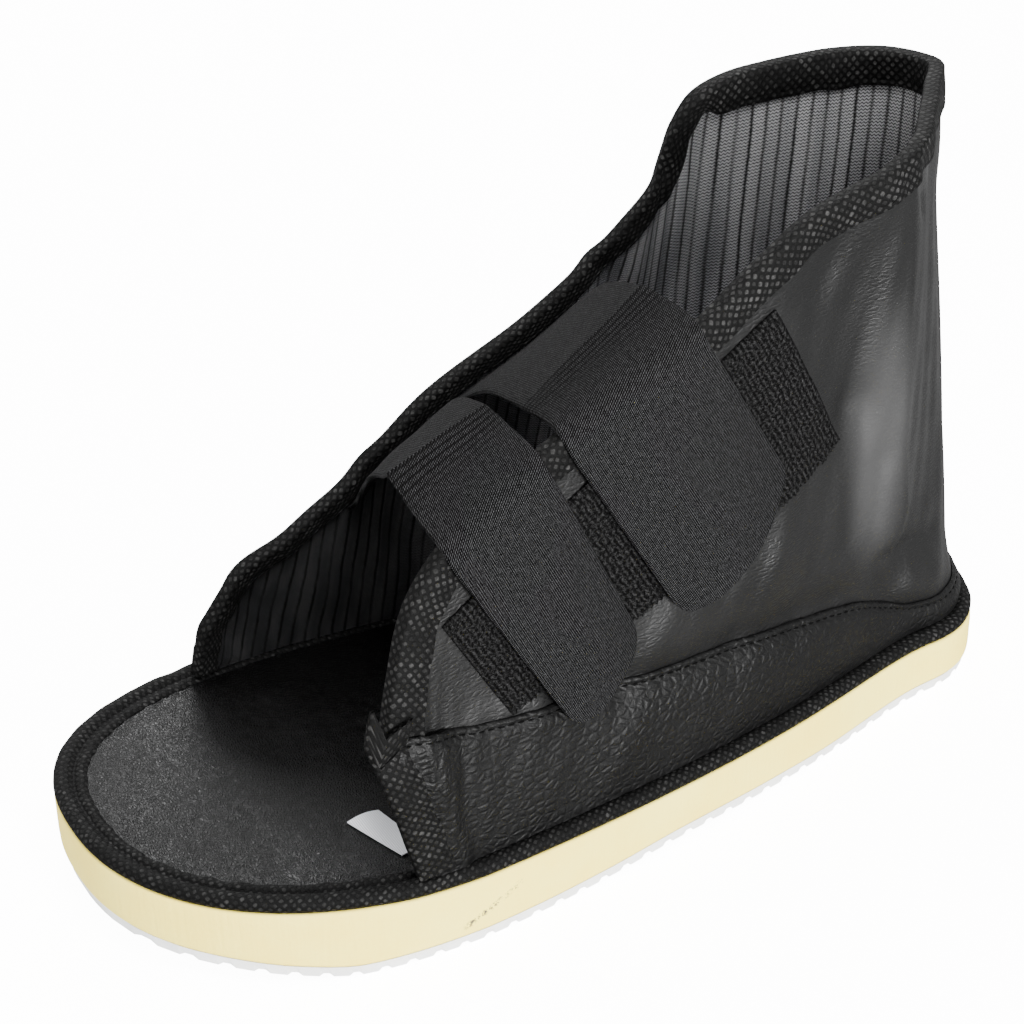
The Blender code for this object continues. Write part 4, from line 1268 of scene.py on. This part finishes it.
def level_out(rows):
    """Rows eased along the strap, then lifted where that had sunk them."""
    eased = rows.copy()
    for _ in range(160):
        eased[1:-1] = 0.5 * eased[1:-1] + 0.25 * (eased[:-2] + eased[2:])
    row = np.arange(len(rows))
    keep = ease(row, 0, 12) * ease(-row, -189, -120)
    eased = rows + (eased - rows) * keep[:, None, None]
    faces = unit(np.cross((eased[:, -1] - eased[:, 0])[:, None], np.gradient(eased, axis=0)))
    sunk = np.maximum(((rows - eased) * faces).sum(-1).max(1), 0.0)
    for _ in range(12):
        sunk = np.maximum(sunk, np.concatenate([sunk[1:], sunk[-1:]]))
        sunk = np.maximum(sunk, np.concatenate([sunk[:1], sunk[:-1]]))
    for _ in range(80):
        sunk[1:-1] = 0.5 * sunk[1:-1] + 0.25 * (sunk[:-2] + sunk[2:])
    return eased + faces * sunk[:, None, None]


def make_strap(name, strap, seed):
    """Loop strap: light upper part, sharp crease, and a lower part laid over the hook patch."""
    edge = np.array([0.0, 0.004, 0.012, 0.024])
    edge_thin = [0.30, 0.62, 0.88, 1.0]
    share = np.concatenate([edge, np.linspace(0.05, 0.95, 37), 1 - edge[::-1]])
    before, after = strap_rows(strap, share)
    before = resample(glide(before, 6), 70)
    after = level_out(resample(np.concatenate([after[:1], glide(after[1:], 6)]), 190))
    rows = np.concatenate([before, after[1:]])
    middle = rows[:, len(share) // 2]
    run = lengths(middle) - lengths(before[:, len(share) // 2])[-1]
    width = np.linalg.norm(rows[:, -1] - rows[:, 0], axis=-1)
    sweep = unit(rows[:, -1] - rows[:, 0])[:, None]
    way = np.gradient(rows, axis=0)
    faces = unit(np.cross(np.broadcast_to(sweep, way.shape), unit(way)))
    thin = np.interp(np.minimum(share, 1 - share), edge, edge_thin)
    end = np.interp(run[-1] - run, [0.0, 0.4 * MM, 1.0 * MM], [0.35, 0.75, 1.0])
    half = STRAP_THICK / 2 * thin[None, :] * end[:, None]
    flow = 0.35 * MM * waves(run[:, None] / MM + 22 * share[None, :], seed, 24.0) * ease(
        run, -0.030, -0.005)[:, None] * ease(-run, -0.030, -0.002)[:, None]
    upper = rows + faces * (half + flow)[..., None]
    lower = rows - faces * (half - flow)[..., None]
    grid = np.concatenate([upper, lower[:, ::-1]], 1)
    cross = (share[None, :] - 0.5) * width[:, None]
    cross = np.concatenate([cross, cross[:, ::-1]], 1)
    marks = two_faced(np.stack([np.broadcast_to(run[:, None], cross.shape), cross], -1))
    lay_mesh(name + "_webbing", grid, WEBBING, marks, [name], caps=True, sharp=35)


# Corners of the ribbon: along the sole, and across it by half the ball's width
RIBBON = [(0.228, 0.490), (0.262, 0.480), (0.275, 0.790), (0.250, 0.800)]


def make_ribbon():
    """Small blank ribbon that lies on the footbed inside the near front."""
    first, second = np.meshgrid(np.linspace(0, 1, 12), np.linspace(0, 1, 12), indexing="ij")
    a, b, c, d = [np.array([HALF_BALL * across_at, SOLE_LENGTH * (along - 0.5)])
                    for along, across_at in RIBBON]
    spots = (a * ((1 - first) * (1 - second))[..., None] + b * (first * (1 - second))[..., None]
             + c * (first * second)[..., None] + d * ((1 - first) * second)[..., None])
    base = sole_top(spots[..., 1]) + FOOTBED_THICK + 2 * GAP + 0.12 * MM
    curl = 0.9 * MM * np.sin(np.pi * first) * (1 - second) ** 2
    lower = np.concatenate([spots, (base + curl)[..., None]], -1)
    upper = lower + np.array([0.0, 0.0, 0.35 * MM])
    grid = np.concatenate([upper, lower[:, ::-1]], 1)
    lay_mesh("blank_ribbon", grid, RIBBON_CLOTH, grid_marks(grid), ["ribbon"],
             caps=True)


make_foam()
make_board()
make_sole_tape()
make_wall()
make_edge_tape()
band_seam, band_faces = make_band()
stitches("band_stitches", band_seam, band_faces, 3.0 * MM, 0.48 * MM, BLACK_THREAD)
make_band_tape()
for number, (patch_name, patch_sizes) in enumerate(PATCHES.items()):
    make_patch(patch_name, patch_sizes, 101 + 10 * number)
for number, (strap_name, strap_sizes) in enumerate(STRAPS.items()):
    make_strap(strap_name, strap_sizes, 131 + 10 * number)
make_ribbon()

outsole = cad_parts["outsole"]
outsole.data.materials.clear()
outsole.data.materials.append(RUBBER)

# Floor, light and camera

floor_mesh = bpy.data.meshes.new("studio_floor")
floor_mesh.from_pydata([(-3, -3, 0), (3, -3, 0), (3, 3, 0), (-3, 3, 0)], [], [(0, 1, 2, 3)])
floor = bpy.data.objects.new("studio_floor", floor_mesh)
paper = bpy.data.materials.new("white paper")
paper.use_nodes = True
paper_tree = paper.node_tree
paper_shader = paper_tree.nodes["Principled BSDF"]
paper_shader.inputs["Roughness"].default_value = 0.95
paper_shader.inputs["Emission Color"].default_value = grey(1.0)
# Painted shade: in glossy reflections the floor is much darker than it is to the camera, where it glows
# evenly white.
seen = node(paper_tree, "ShaderNodeLightPath")
reflected_floor_shade = blend_colours(paper_tree, seen.outputs["Is Glossy Ray"], grey(0.95), grey(0.22))
glow = sums(paper_tree, "MULTIPLY", seen.outputs["Is Camera Ray"], 12.0)
paper_tree.links.new(reflected_floor_shade, paper_shader.inputs["Base Color"])
paper_tree.links.new(glow, paper_shader.inputs["Emission Strength"])
floor_mesh.materials.append(paper)
bpy.context.scene.collection.objects.link(floor)

world = bpy.data.worlds.new("studio")
world.use_nodes = True
background = world.node_tree.nodes["Background"]
background.inputs["Color"].default_value = grey(1.0)
background.inputs["Strength"].default_value = 0.90
bpy.context.scene.world = world


def soft_light(name, spot, target, size, power):
    """A square soft light aimed at a point."""
    lamp = bpy.data.lights.new(name, "AREA")
    lamp.shape = "SQUARE"
    lamp.size = size
    lamp.energy = power
    made = bpy.data.objects.new(name, lamp)
    made.location = spot
    made.rotation_euler = (Vector(target) - Vector(spot)).to_track_quat("-Z", "Y").to_euler()
    bpy.context.scene.collection.objects.link(made)


soft_light("side_light", (1.5, 0.05, 0.16), (0, 0.06, 0.08), 0.45, 62.0)
soft_light("high_light", (0.8, -0.10, 1.4), (0, 0, 0.08), 0.6, 34.0)
soft_light("back_light", (-1.30, 0.55, 1.05), (0, -0.1, 0.03), 0.6, 24.0)
soft_light("toe_light", (-0.7, -1.3, 0.7), (0, -0.1, 0.04), 0.9, 15.0)

camera_data = bpy.data.cameras.new("camera")
camera_data.lens = 85.49
camera_data.sensor_width = 36.0
camera = bpy.data.objects.new("camera", camera_data)
bpy.context.scene.collection.objects.link(camera)
camera_spot = Vector((0.4950, -0.2928, 0.4445))
camera_target = Vector((-0.0931, 0.0436, 0.0192))
forward = (camera_target - camera_spot).normalized()
right = Vector((0.5065, 0.8620, -0.0186))
right = (right - right.dot(forward) * forward).normalized()
above = right.cross(forward)
camera.matrix_world = Matrix.Translation(camera_spot) @ Matrix(
    (right, above, -forward)).transposed().to_4x4()
bpy.context.scene.camera = camera
